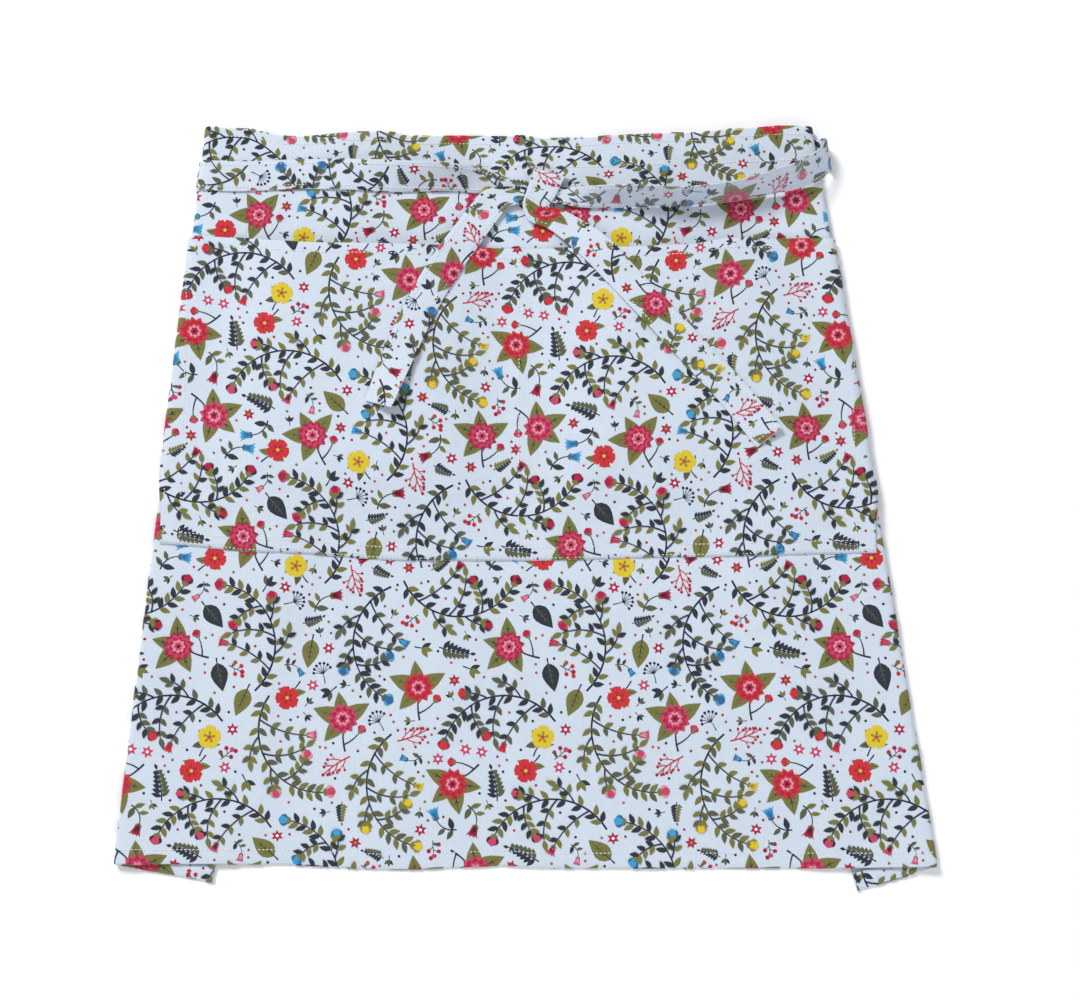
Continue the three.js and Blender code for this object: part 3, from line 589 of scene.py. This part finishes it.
def heading_at(points, k):
    (x0, y0), (x1, y1) = points[max(k - 1, 0)], points[min(k + 1, len(points) - 1)]
    return math.atan2(y1 - y0, x1 - x0)


def leafy(motif, points, length, width, inks, nodes):
    """Pairs of small leaves along a stalk, a light one and a dark one at each place."""
    for k in nodes:
        for side in (-0.85, 0.85):
            ink = inks[(k + (side > 0)) % 2]
            motif.leaf(*points[k], heading_at(points, k) + side, length, width, ink)


def vine(flower, leaves):
    """A long curving stalk with pairs of small leaves, and branches that end in small blooms."""
    motif, (body, rib, stalk) = Motif(), leaves
    points, way = motif.stem(-0.95, -0.4, -0.4, 2.75, 2.2, 0.04, stalk, 16)
    leafy(motif, points, 0.24, 0.112, (body, rib), (1, 2, 4, 6, 8, 10, 12, 13, 14, 15))
    motif.bloom("bud", *points[-1], 0.24, flower[:3] + (body,), way)
    for k, turn, bend, run, kind in ((3, 1.15, 0.6, 1.0, "bell"), (7, 0.95, 0.9, 0.9, "leaf"),
                                     (11, 1.05, 0.8, 0.6, "bud"), (5, -0.8, 0.8, 0.5, "leaf"),
                                     (9, -0.8, 0.6, 0.4, "bud")):
        side, way = motif.stem(*points[k], heading_at(points, k) + turn, run, bend, 0.032, stalk, 7)
        leafy(motif, side, 0.2, 0.1, (rib, body), (2, 4, 6) if run > 0.55 else (3, 6))
        if kind == "leaf":
            motif.leaf(*side[-1], way, 0.24, 0.11, body)
        else:
            motif.bloom(kind, *side[-1], 0.21, (flower[0], flower[1], body, body), way)
    return motif


def twig(ink, tip):
    """A bare forked twig with a few round buds."""
    motif = Motif()
    points, _ = motif.stem(-0.1, -0.98, 1.35, 1.8, 0.35, 0.085, ink, 7)
    motif.spot(*points[-1], 0.1, tip)
    for k, turn, run in ((1, 0.8, 0.75), (2, -0.8, 0.8), (3, 0.75, 0.6), (4, -0.7, 0.55), (5, 0.7, 0.36)):
        side, _ = motif.stem(*points[k], heading_at(points, k) + turn, run, -0.7 * turn, 0.06, ink, 4)
        twiglet, _ = motif.stem(*side[2], heading_at(side, 2) + turn, 0.4 * run, 0, 0.05, ink, 1)
        motif.spot(*side[-1], 0.09, tip)
        motif.spot(*twiglet[-1], 0.08, tip)
    return motif


def rosette(flower, leaves):
    """A full bloom over broad leaves, with a bud beside it."""
    motif, (body, rib, stalk) = Motif(), leaves
    points, _ = motif.stem(0.05, -1.05, 1.75, 0.95, -0.4, 0.07, stalk, 4)
    side, side_way = motif.stem(*points[1], 0.45, 0.7, 0.5, 0.055, stalk, 3)
    motif.bloom("bud", *side[-1], 0.3, flower[:3] + (body,), side_way)
    for way, size, wide in ((2.75, 1.12, 0.6), (0.5, 1.08, 0.56), (-2.3, 1.0, 0.54), (1.7, 0.98, 0.5)):
        motif.veined_leaf(0.0, 0.08, way, size, wide, body, rib)
    motif.bloom("dahlia", 0.0, 0.1, 0.56, flower, 0.3)
    return motif


def posy(flower, leaves):
    """A smaller bloom with three leaves beneath it."""
    motif, (body, rib, stalk) = Motif(), leaves
    motif.stem(0.1, -0.95, 1.7, 0.9, -0.3, 0.08, stalk, 4)
    for way, size in ((2.6, 0.85), (0.4, 0.8), (-2.4, 0.8)):
        motif.leaf(0.05, -0.15, way, size, 0.38, body, rib)
    motif.bloom("primrose", 0.05, 0.22, 0.66, flower, 0.7)
    return motif


def nodding(flower, leaves):
    """A bell that hangs from a bent stalk with three leaves."""
    motif, (body, rib, stalk) = Motif(), leaves
    points, way = motif.stem(-0.35, -0.95, 1.75, 1.3, -1.3, 0.08, stalk, 6)
    motif.leaf(*points[1], 2.7, 0.62, 0.3, body, rib)
    motif.leaf(*points[1], 0.35, 0.75, 0.34, rib)
    motif.leaf(*points[3], 2.4, 0.55, 0.26, body)
    motif.bloom("bell", *points[-1], 0.72, (flower[0], flower[1], body, flower[3]), way)
    return motif


def frond(leaves):
    motif, (body, rib, stalk) = Motif(), leaves
    points, way = motif.stem(-0.1, -0.95, 1.45, 1.8, 0.35, 0.07, stalk, 7)
    for k in range(1, 7):
        size = 0.66 - 0.06 * k
        motif.leaf(*points[k], way + 0.9, size, 0.26, body)
        motif.leaf(*points[k], way - 1.2, size, 0.26, rib)
    motif.leaf(*points[-1], way, 0.32, 0.18, body)
    return motif


def broad_leaf(leaves):
    motif, (body, rib, stalk) = Motif(), leaves
    motif.stem(0, -0.98, 1.55, 0.4, 0.0, 0.09, stalk, 2)
    motif.veined_leaf(0, -0.65, 1.6, 1.6, 0.95, body, rib)
    return motif


def berries(flower, leaves):
    motif, (body, rib, stalk) = Motif(), leaves
    points, way = motif.stem(0, -0.95, 1.5, 1.3, 0.3, 0.07, stalk, 5)
    for k, turn in ((1, 1.1), (2, -1.1), (3, 0.9), (4, -0.8)):
        ends, _ = motif.stem(*points[k], way + turn, 0.5, 0.1, 0.06, stalk, 2)
        motif.spot(*ends[-1], 0.19, flower[0], 8)
        motif.spot(ends[-1][0] + 0.05, ends[-1][1] + 0.05, 0.06, flower[2])
    motif.spot(*points[-1], 0.2, flower[1], 8)
    motif.leaf(*points[1], 2.9, 0.6, 0.26, body, rib)
    return motif


def umbel(ink, tip):
    """A flat head of fine stalks with a round bud on each."""
    motif = Motif()
    points, way = motif.stem(0, -0.95, 1.5, 0.85, 0.2, 0.09, ink, 3)
    for k in range(-3, 4):
        side, _ = motif.stem(*points[-1], way + 0.36 * k, 0.95 - 0.04 * abs(k), 0.12 * k, 0.06, ink, 2)
        motif.spot(*side[-1], 0.13, tip)
    return motif


def star(flower):
    motif = Motif()
    motif.bloom("star", 0, 0, 0.95, flower, 0.2)
    return motif


def sprout(leaves):
    motif, (body, rib, stalk) = Motif(), leaves
    motif.stem(0, -0.9, 1.57, 0.8, 0.2, 0.12, stalk, 2)
    for way, size, ink in ((2.3, 0.95, rib), (0.8, 0.95, body), (1.57, 1.0, body)):
        motif.leaf(0, -0.25, way, size, 0.44, ink)
    return motif


def dot(ink):
    motif = Motif()
    motif.spot(0, 0, 0.5, ink, 7)
    return motif


# The motifs of each size: radius in mm, how many a repeat holds at most, least gap in mm, and kinds
MOTIFS = [
    (36.0, 10, 2, [vine(BLOOMS[k], LEAVES[(0, 1, 0, 3)[k % 4]]) for k in range(8)]),
    (20.5, 8, 2, [rosette(FULL_INKS[k % 3], (("olive", "slate", "slate"), ("olive", "leaf", "slate"))[k % 2])
                  for k in range(6)]),
    (13.0, 36, 1, [posy(BLOOMS[1], LEAVES[0]), frond(LEAVES[2]), nodding(BLOOMS[2], LEAVES[1]),
                   twig("red", "crimson"), broad_leaf(LEAVES[0]), nodding(BLOOMS[0], LEAVES[3]),
                   posy(BLOOMS[7], LEAVES[1]), broad_leaf(LEAVES[2])]),
    (8.4, 80, 1, [frond(LEAVES[2]), sprout(LEAVES[0]), berries(BLOOMS[1], LEAVES[0]),
                  umbel("navy", "navy"), nodding(BLOOMS[5], LEAVES[2]), frond(LEAVES[0]),
                  berries(BLOOMS[4], LEAVES[1]), sprout(LEAVES[2]), nodding(BLOOMS[3], LEAVES[1])]),
    (4.9, 150, 1, [sprout(LEAVES[1]), star(BLOOMS[4]), sprout(LEAVES[0]), star(BLOOMS[0]),
                   sprout(LEAVES[2]), star(BLOOMS[6])]),
    (2.1, 110, 1, [dot(ink) for ink in ("crimson", "olive", "rose", "slate")]),
]


def covering(motif):
    """Points all over the motif's shapes, from their middles to their outlines."""
    spots = []
    for outline, _ in motif.shapes:
        ring = np.array(outline)
        ring = np.concatenate([ring, (ring + np.roll(ring, 1, axis=0)) / 2])
        spots += [lerp(ring.mean(axis=0), ring, share) for share in (0.0, 0.4, 0.75, 1.0)]
    return np.concatenate(spots)


def print_repeat():
    """One repeat of the print: motifs fill it from the largest down, and none comes near another's shapes."""
    dice, shapes, size = random.Random(PRINT_SEED), [], np.array(REPEAT)
    taken = np.zeros(REPEAT, bool)
    for radius, wanted, gap, kinds in MOTIFS:
        spread = [covering(kind) * radius for kind in kinds]
        near = [(i, j) for i in range(-gap, gap + 1) for j in range(-gap, gap + 1)
                if i * i + j * j <= gap * gap + 1]
        count = 0
        for _ in range(TRIES):
            x, y, turn = dice.random() * REPEAT[0], dice.random() * REPEAT[1], dice.random() * 2 * math.pi
            cos, sin = math.cos(turn), math.sin(turn)
            spots = spread[count % len(kinds)] @ np.array([[cos, sin], [-sin, cos]]) + (x, y)
            cells = np.floor(spots).astype(int) % size
            if taken[cells[:, 0], cells[:, 1]].any():
                continue
            for step in near:
                beside = (cells + step) % size
                taken[beside[:, 0], beside[:, 1]] = True
            for level, (outline, ink) in enumerate(kinds[count % len(kinds)].shapes):
                placed = [(x + radius * (cos * a - sin * b), y + radius * (sin * a + cos * b))
                          for a, b in outline]
                shapes.append((placed, ink, level))
            count += 1
            if count == wanted:
                break
    return shapes


def new_mesh(name, bm, material):
    mesh = bpy.data.meshes.new(name)
    bm.to_mesh(mesh)
    bm.free()
    piece = bpy.data.objects.new(name, mesh)
    bpy.context.scene.collection.objects.link(piece)
    mesh.materials.append(material)
    mesh.polygons.foreach_set("use_smooth", [True] * len(mesh.polygons))
    return piece


def read_spots(bm):
    return np.array([v.co[:] for v in bm.verts], float)


def set_spots(bm, spots):
    for vert, spot in zip(bm.verts, (spots - CENTRE) * MM):
        vert.co = spot
    bm.normal_update()


def grid_sheet(columns, rows, place):
    """A grid whose vertex (column, row) goes to place(column value, row value)."""
    bm = bmesh.new()
    bmesh.ops.create_grid(bm, x_segments=len(columns) - 1, y_segments=len(rows) - 1, size=1)
    spots = read_spots(bm)
    across = np.rint((spots[:, 0] + 1) / 2 * (len(columns) - 1)).astype(int)
    up = np.rint((spots[:, 1] + 1) / 2 * (len(rows) - 1)).astype(int)
    set_spots(bm, place(np.asarray(columns)[across], np.asarray(rows)[up]))
    return bm


def panel_grid_place(column, run):
    """Places the apron cloth's columns: 0 to 1 up to each fold, 1 to 2 round it, 2 to 3 over its flap."""
    y, x = np.clip(run, TURN_RADIUS, PANEL_HEIGHT - TURN_RADIUS), np.zeros_like(run)
    for fold in FOLDS:
        start, past = fold.across_at(y), ROLL / fold.out[0]
        c = column * fold.side
        flap = lerp(start + past, fold.side * HALF, c - 2)
        place = np.where(c <= 1, c * start, np.where(c <= 2, start + past * (c - 1), flap))
        x = np.where(c > 0, place, x)
    return panel_place(x, run)


def print_on(name, low, high, cuts, shift, place, fade=lambda x, y: 0 * x):
    """The print of a piece: thin shapes of ink that follow its pattern, each a hair above the one before."""
    bm = bmesh.new()
    ink_layer = bm.faces.layers.int.new("ink_number")
    first = [math.floor((low[k] - shift[k]) / REPEAT[k]) - 1 for k in (0, 1)]
    last = [math.ceil((high[k] - shift[k]) / REPEAT[k]) + 1 for k in (0, 1)]
    for i in range(first[0], last[0]):
        for j in range(first[1], last[1]):
            dx, dy = shift[0] + i * REPEAT[0], shift[1] + j * REPEAT[1]
            for outline, ink, level in PRINT:
                xs, ys = [x + dx for x, _ in outline], [y + dy for _, y in outline]
                if max(xs) < low[0] or min(xs) > high[0] or max(ys) < low[1] or min(ys) > high[1]:
                    continue
                face = bm.faces.new([bm.verts.new((x, y, level * PAINT_STEP)) for x, y in zip(xs, ys)])
                face[ink_layer] = ink
    # The ink is cut off at the sides of the cloth, and only cut along its bends
    sides = [((low[0], 0), (-1, 0)), ((high[0], 0), (1, 0)), ((0, low[1]), (0, -1)), ((0, high[1]), (0, 1))]
    for k, (spot, way) in enumerate(sides + cuts):
        bmesh.ops.bisect_plane(bm, geom=bm.verts[:] + bm.edges[:] + bm.faces[:], dist=1e-4,
                               plane_co=(*spot, 0), plane_no=(*way, 0), clear_outer=k < len(sides))
    bmesh.ops.triangulate(bm, faces=[face for face in bm.faces if len(face.verts) == 4])
    bmesh.ops.poke(bm, faces=[face for face in bm.faces if len(face.verts) > 4])
    # Long edges are split, so that no ink spans a hollow or a rise of the cloth
    for longest in (10.0, 6.0):
        long_edges = [edge for edge in bm.edges if edge.calc_length() > longest]
        bmesh.ops.subdivide_edges(bm, edges=long_edges, cuts=1)
        bmesh.ops.triangulate(bm, faces=[face for face in bm.faces if len(face.verts) > 3])
    # All ink faces up before it is laid on the cloth
    bmesh.ops.recalc_face_normals(bm, faces=bm.faces[:])
    for face in bm.faces:
        if face.normal.z < 0:
            face.normal_flip()
    flat = read_spots(bm)
    set_spots(bm, place(flat[:, 0], flat[:, 1], PAINT_RISE + flat[:, 2]))
    middles = np.array([flat[[v.index for v in face.verts]].mean(axis=0) for face in bm.faces])
    inks = np.array([linear(INKS[INK_NAMES[face[ink_layer]]]) for face in bm.faces])
    faded = fade(middles[:, 0], middles[:, 1])[:, None]
    colours = np.repeat(lerp(inks, np.array(linear(INKS["ground"])), faded), 3, axis=0)
    piece = new_mesh(name, bm, INKED)
    ink = piece.data.color_attributes.new(name="ink", type="FLOAT_COLOR", domain="CORNER")
    ink.data.foreach_set("color", np.array(colours, float).ravel())
    return piece


def sew(bm, place, path):
    """A row of stitches along a path of pattern places: each is a short raised thread, sunk at its ends."""
    path = np.array(path, float)
    runs = np.concatenate([[0], np.cumsum(np.linalg.norm(np.diff(path, axis=0), axis=1))])
    count = max(1, int(runs[-1] / STITCH))
    middles = (np.arange(count) + 0.5) * runs[-1] / count

    def spots_at(run, rise):
        x, y = np.interp(run, runs, path[:, 0]), np.interp(run, runs, path[:, 1])
        return (place(x, y, rise) - CENTRE) * MM

    size = Matrix.Diagonal((0.38 * STITCH * MM, THREAD_HALF_WIDTH * MM, THREAD_HALF_RISE * MM, 1))
    for spot, end, up in zip(spots_at(middles, THREAD_SEAT), spots_at(middles + 0.9, THREAD_SEAT),
                             spots_at(middles, THREAD_SEAT + 0.5)):
        ahead, lift = Vector(end - spot).normalized(), Vector(up - spot).normalized()
        aside = lift.cross(ahead).normalized()
        turn = Matrix((ahead, aside, ahead.cross(aside))).transposed().to_4x4()
        bmesh.ops.create_icosphere(bm, subdivisions=1, radius=1,
                                   matrix=Matrix.Translation(spot) @ turn @ size)


def node(tree, kind, links=None, settings=None, **values):
    """Adds a node, sets its properties and input values, and links its inputs from other nodes' outputs."""
    new = tree.nodes.new(kind)
    for key, value in (settings or {}).items():
        setattr(new, key, value)
    for key, value in values.items():
        new.inputs[key.replace("_", " ")].default_value = value
    for key, source in (links or {}).items():
        tree.links.new(source, new.inputs[key])
    return new


def blank_material(name):
    material = bpy.data.materials.new(name)
    material.use_nodes = True
    material.node_tree.nodes.clear()
    return material, material.node_tree


def printed_cotton(name, hex_colour=None, shade=1.0):
    """Plain-weave cotton: matt, with a faint fuzz at grazing angles and yarns of uneven thickness."""
    material, tree = blank_material(name)
    place = node(tree, "ShaderNodeTexCoord").outputs["Object"]
    # Yarns lie 0.45 mm apart in the real cloth: they are drawn 1 mm apart, the finest that shows at this size
    warp, weft = (node(tree, "ShaderNodeTexWave", {"Vector": place}, {"bands_direction": way}, Scale=314,
                       Distortion=0.6, Detail=1, Detail_Scale=2).outputs["Fac"] for way in "XY")
    yarns = node(tree, "ShaderNodeMath", {0: warp, 1: weft}, {"operation": "MULTIPLY"})
    # Slubs: thicker stretches of yarn, some 6 mm long
    stretched = [node(tree, "ShaderNodeMapping", {"Vector": place}, Scale=scale).outputs["Vector"]
                 for scale in ((160, 1100, 300), (1100, 160, 300))]
    slub_x, slub_y = (node(tree, "ShaderNodeTexNoise", {"Vector": spots}, Scale=1, Detail=2,
                           Roughness=0.5).outputs["Fac"] for spots in stretched)
    slubs = node(tree, "ShaderNodeMath", {0: slub_x, 1: slub_y}, {"operation": "ADD"}).outputs["Value"]
    height = node(tree, "ShaderNodeMath", {0: yarns.outputs["Value"], 1: slubs}, {"operation": "ADD"})
    # Cockles of washed cotton, 15 to 60 mm across
    cockle = node(tree, "ShaderNodeTexNoise", {"Vector": place}, Scale=17, Detail=4, Roughness=0.5,
                  Distortion=0.5)
    folds = node(tree, "ShaderNodeBump", {"Height": cockle.outputs["Fac"]}, Strength=0.6, Distance=0.005)
    bump = node(tree, "ShaderNodeBump", {"Height": height.outputs["Value"],
                                         "Normal": folds.outputs["Normal"]}, Strength=0.3, Distance=0.00025)
    # Dye takes a little unevenly along the yarns and in faint clouds
    cloud = node(tree, "ShaderNodeTexNoise", {"Vector": place}, Scale=9, Detail=3, Roughness=0.6)
    uneven = node(tree, "ShaderNodeMath", {0: slubs, 1: cloud.outputs["Fac"]}, {"operation": "ADD"})
    light = node(tree, "ShaderNodeMapRange", {"Value": uneven.outputs["Value"]}, From_Min=0.9, From_Max=2.1,
                 To_Min=0.93 * shade, To_Max=1.05 * shade)
    dyed = node(tree, "ShaderNodeVectorMath", {"Scale": light.outputs["Result"]}, {"operation": "SCALE"})
    if hex_colour is None:
        ink = node(tree, "ShaderNodeVertexColor", settings={"layer_name": "ink"})
        tree.links.new(ink.outputs["Color"], dyed.inputs[0])
    else:
        dyed.inputs[0].default_value = linear(hex_colour)[:3]
    cloth = node(tree, "ShaderNodeBsdfPrincipled",
                 {"Base Color": dyed.outputs["Vector"], "Normal": bump.outputs["Normal"]}, Roughness=0.86,
                 Specular_IOR_Level=0.28, Sheen_Weight=0.18, Sheen_Roughness=0.5)
    node(tree, "ShaderNodeOutputMaterial", {"Surface": cloth.outputs["BSDF"]})
    return material


def sewing_thread():
    """Spun polyester thread, off-white: a soft sheen and a fine twist."""
    material, tree = blank_material("spun_polyester_thread")
    place = node(tree, "ShaderNodeTexCoord").outputs["Object"]
    # The two plies twist once in 0.8 mm
    twist = node(tree, "ShaderNodeTexNoise", {"Vector": place}, Scale=1250, Detail=1)
    bump = node(tree, "ShaderNodeBump", {"Height": twist.outputs["Fac"]}, Strength=0.3, Distance=0.0001)
    tint = node(tree, "ShaderNodeValToRGB", {"Fac": twist.outputs["Fac"]})
    tint.color_ramp.elements[0].color = linear("#E4E6EC")
    tint.color_ramp.elements[1].color = linear("#FAFAFB")
    thread = node(tree, "ShaderNodeBsdfPrincipled",
                  {"Base Color": tint.outputs["Color"], "Normal": bump.outputs["Normal"]},
                  Roughness=0.55, Sheen_Weight=0.2)
    node(tree, "ShaderNodeOutputMaterial", {"Surface": thread.outputs["BSDF"]})
    return material


def pale_paper():
    """A sheet of matt white background paper."""
    material, tree = blank_material("matt_background_paper")
    paper = node(tree, "ShaderNodeBsdfPrincipled", Base_Color=linear("#FCFCFC"), Roughness=0.9,
                 Specular_IOR_Level=0.1)
    node(tree, "ShaderNodeOutputMaterial", {"Surface": paper.outputs["BSDF"]})
    return material


GROUND = printed_cotton("plain_weave_cotton_ground", INKS["ground"])
WRONG_SIDE = printed_cotton("plain_weave_cotton_wrong_side", "#CED4DE", 0.97)
INKED = printed_cotton("pigment_printed_cotton")
THREAD = sewing_thread()


def thicken(piece):
    """Gives the sheet the cotton's thickness, inwards from its right side."""
    piece.data.materials.append(WRONG_SIDE)
    wall = piece.modifiers.new("cotton_thickness", "SOLIDIFY")
    wall.thickness = CANVAS * MM
    wall.offset = -1
    wall.use_even_offset = False
    wall.material_offset = 1
    wall.material_offset_rim = 0


def finish_piece(piece, *nodes):
    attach(piece, "root")
    if nodes:
        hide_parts(*nodes)


def steps_to(start, *stretches):
    """Values from start on: each stretch gives where it ends and in how many steps."""
    values = [start]
    for end, count in stretches:
        values += list(np.linspace(values[-1], end, count + 1)[1:])
    return values


def both_ways(half):
    return [-value for value in reversed(half[1:])] + half


PRINT = print_repeat()

# Apron cloth
hem_start, waist_end = TURN_RADIUS - TURN_ARC, PANEL_HEIGHT - TURN_RADIUS
columns = both_ways(steps_to(0.0, (1, 65), (2, 8), (3, 19)))
rows = steps_to(PANEL_BOTTOM, (hem_start, 2), (TURN_RADIUS, 5), (waist_end, 139), (waist_end + TURN_ARC, 5),
                (PANEL_TOP, 6))
apron_cloth = new_mesh("cotton_apron_cloth", grid_sheet(columns, rows, panel_grid_place), GROUND)
thicken(apron_cloth)
fold_cuts = [(tuple(fold.start + fold.out * ROLL * k / 8), tuple(fold.out))
             for fold in FOLDS for k in range(9)]
turn_cuts = [((0, y), (0, 1)) for y in list(np.linspace(hem_start, TURN_RADIUS, 5))
             + list(np.linspace(waist_end, waist_end + TURN_ARC, 5))]
apron_print = print_on("print_on_apron_cloth", (-HALF, PANEL_BOTTOM), (HALF, PANEL_TOP),
                       fold_cuts + turn_cuts, (-30.0, -40.0), panel_place)

# Pocket
POCKET_TOP, POCKET_FLAT = POCKET_HEIGHT + MOUTH_HEM, 226
mouth = POCKET_HEIGHT - MOUTH_TURN
columns = both_ways(steps_to(0.0, (POCKET_FLAT, 56), (HALF_POCKET, 26)))
rows = steps_to(0.0, (mouth, 61), (mouth + math.pi * MOUTH_TURN, 4), (POCKET_TOP, 1))
front_pocket = new_mesh("cotton_front_pocket", grid_sheet(columns, rows, pocket_place), GROUND)
thicken(front_pocket)
# The pocket's pattern meets a fold on a slanted line, and its print is cut along it
pocket_cuts = [((x, y - POCKET_FOOT), way) for (x, y), way in fold_cuts]
pocket_cuts += [((0, mouth), (0, 1)), ((0, mouth + 0.8), (0, 1))]
pocket_print = print_on("print_on_front_pocket", (-HALF_POCKET, 0), (HALF_POCKET, POCKET_TOP), pocket_cuts,
                        (15.0, 62.0), pocket_place)


def tie_piece(name, tie, shift, pale_until):
    """A tie and its print, a little paler on the face that turns its wrong side out for part of the way."""
    flat, arc, tip = TIE_FLAT, TIE_TURN, 0.7
    edge, back, whole = flat / 2, flat / 2 + arc, 2 * (flat + arc)
    around = steps_to(-edge, (edge, 8), (back, 4), (back + flat, 8), (whole - edge - 1e-6, 4))
    runs = [0.0, tip, *np.linspace(TIE_END, tie.length - TIE_END, int(tie.length / 2.6)), tie.length - tip,
            tie.length]
    bm = grid_sheet(around, runs, tie.place)
    bmesh.ops.remove_doubles(bm, verts=bm.verts[:], dist=2e-7)
    bmesh.ops.holes_fill(bm, edges=[e for e in bm.edges if e.is_boundary], sides=0)
    bmesh.ops.recalc_face_normals(bm, faces=bm.faces[:])
    piece = new_mesh(name, bm, GROUND)
    cuts = [((u, 0), (1, 0)) for u in (edge, edge + arc / 2, back, back + flat, back + flat + arc / 2)]
    cuts += [((0, 4.0 * k), (0, 1)) for k in range(1, int(tie.length / 4))]

    def fade(u, run):
        return np.where((u > edge + arc / 2) & (run < pale_until * tie.length), WRONG_SIDE_FADE, 0.0)

    inked = print_on("print_on_" + name, (-edge, 0.6), (whole - edge, tie.length - 0.6), cuts, shift,
                     tie.place, fade)
    return piece, inked


left_tie, left_print = tie_piece("cotton_left_tie", LEFT_TIE, (70.0, 20.0), 0)
right_tie, right_print = tie_piece("cotton_right_tie", RIGHT_TIE, (130.0, 90.0), 0.72)

# Stitching: rows at their distance in mm from the edges, and those of the pocket from its foot and sides
bm = bmesh.new()
for row in (HEM_DEPTH - 1.5, *WAIST_ROWS):
    sew(bm, panel_place, [(x, row) for x in np.linspace(-HALF + 6, HALF - 6, 60)])
for side in (-1, 1):
    sew(bm, panel_place, [(side * (HALF - 7), y) for y in np.linspace(3, PANEL_HEIGHT - 3, 40)])
panel_stitches = new_mesh("stitches_on_apron_cloth", bm, THREAD)
bm = bmesh.new()
for row, inset in ((1.8, 3), (9.5, 14), (POCKET_HEIGHT - 7.5, 14)):
    sew(bm, pocket_place, [(x, row) for x in np.linspace(-HALF_POCKET + inset, HALF_POCKET - inset, 60)])
for x in (-HALF_POCKET + 14, HALF_POCKET - 14, -HALF_POCKET + 2, HALF_POCKET - 2, 0.4):
    sew(bm, pocket_place, [(x, y) for y in np.linspace(2, POCKET_HEIGHT - 3, 30)])
pocket_stitches = new_mesh("stitches_on_front_pocket", bm, THREAD)


def tie_stitches(name, tie):
    """Rows near both edges and across the end, on the front face and on the back."""
    bm = bmesh.new()
    back = TIE_FLAT + TIE_TURN
    for u in (8.6, -8.6, back - 8.6, back + 8.6):
        sew(bm, tie.place, [(u, run) for run in np.linspace(3, tie.length - 3, 200)])
    for u in (0.0, back):
        sew(bm, tie.place, [(u - 8, tie.length - 4.0), (u + 8, tie.length - 4.0)])
    return new_mesh(name, bm, THREAD)


left_stitches = tie_stitches("stitches_on_left_tie", LEFT_TIE)
right_stitches = tie_stitches("stitches_on_right_tie", RIGHT_TIE)

for piece, solid in ((apron_cloth, "apron_cloth"), (front_pocket, "front_pocket"), (left_tie, "left_tie"),
                     (right_tie, "right_tie")):
    finish_piece(piece, solid)
for piece in (apron_print, pocket_print, left_print, right_print, panel_stitches, pocket_stitches,
              left_stitches, right_stitches):
    finish_piece(piece)

# Camera: 1.3 m above the apron and leaning 10 degrees towards the waist, as the photo's
camera = bpy.data.objects.new("camera", bpy.data.cameras.new("camera"))
bpy.context.scene.collection.objects.link(camera)
camera.location = (Vector((16.0, 38.2, 1303.0)) - Vector(CENTRE)) * MM
camera.rotation_euler = (math.radians(10), 0, 0)
# The focal length in pixels of a photo 1080 pixels wide, on a sensor 36 mm wide
camera.data.sensor_width = 36
camera.data.lens = 1789 / 1080 * 36
camera.data.clip_start = 0.01
bpy.context.scene.camera = camera

# Floor and lights
bm = bmesh.new()
bmesh.ops.create_grid(bm, x_segments=1, y_segments=1, size=6)
floor = new_mesh("floor", bm, pale_paper())


def soft_light(name, place, aim, size, power, hex_colour):
    light = bpy.data.objects.new(name, bpy.data.lights.new(name, "AREA"))
    light.data.shape = "RECTANGLE"
    light.data.size, light.data.size_y = size
    light.data.energy = power
    light.data.color = linear(hex_colour)[:3]
    light.location = place
    light.rotation_euler = (Vector(aim) - Vector(place)).to_track_quat("-Z", "Y").to_euler()
    bpy.context.scene.collection.objects.link(light)


soft_light("window_light", (-2.0, 2.6, 3.0), (0, 0, 0), (1.2, 1.2), 150, "#FFFFFF")
soft_light("fill_light", (0.9, -2.4, 1.4), (0, 0, 0), (2.0, 2.0), 30, "#F4F7FF")
world = bpy.data.worlds.new("studio")
bpy.context.scene.world = world
world.use_nodes = True
world.node_tree.nodes["Background"].inputs["Color"].default_value = linear("#F2F4F8")
world.node_tree.nodes["Background"].inputs["Strength"].default_value = 0.5
bpy.context.scene.view_settings.view_transform = "Standard"
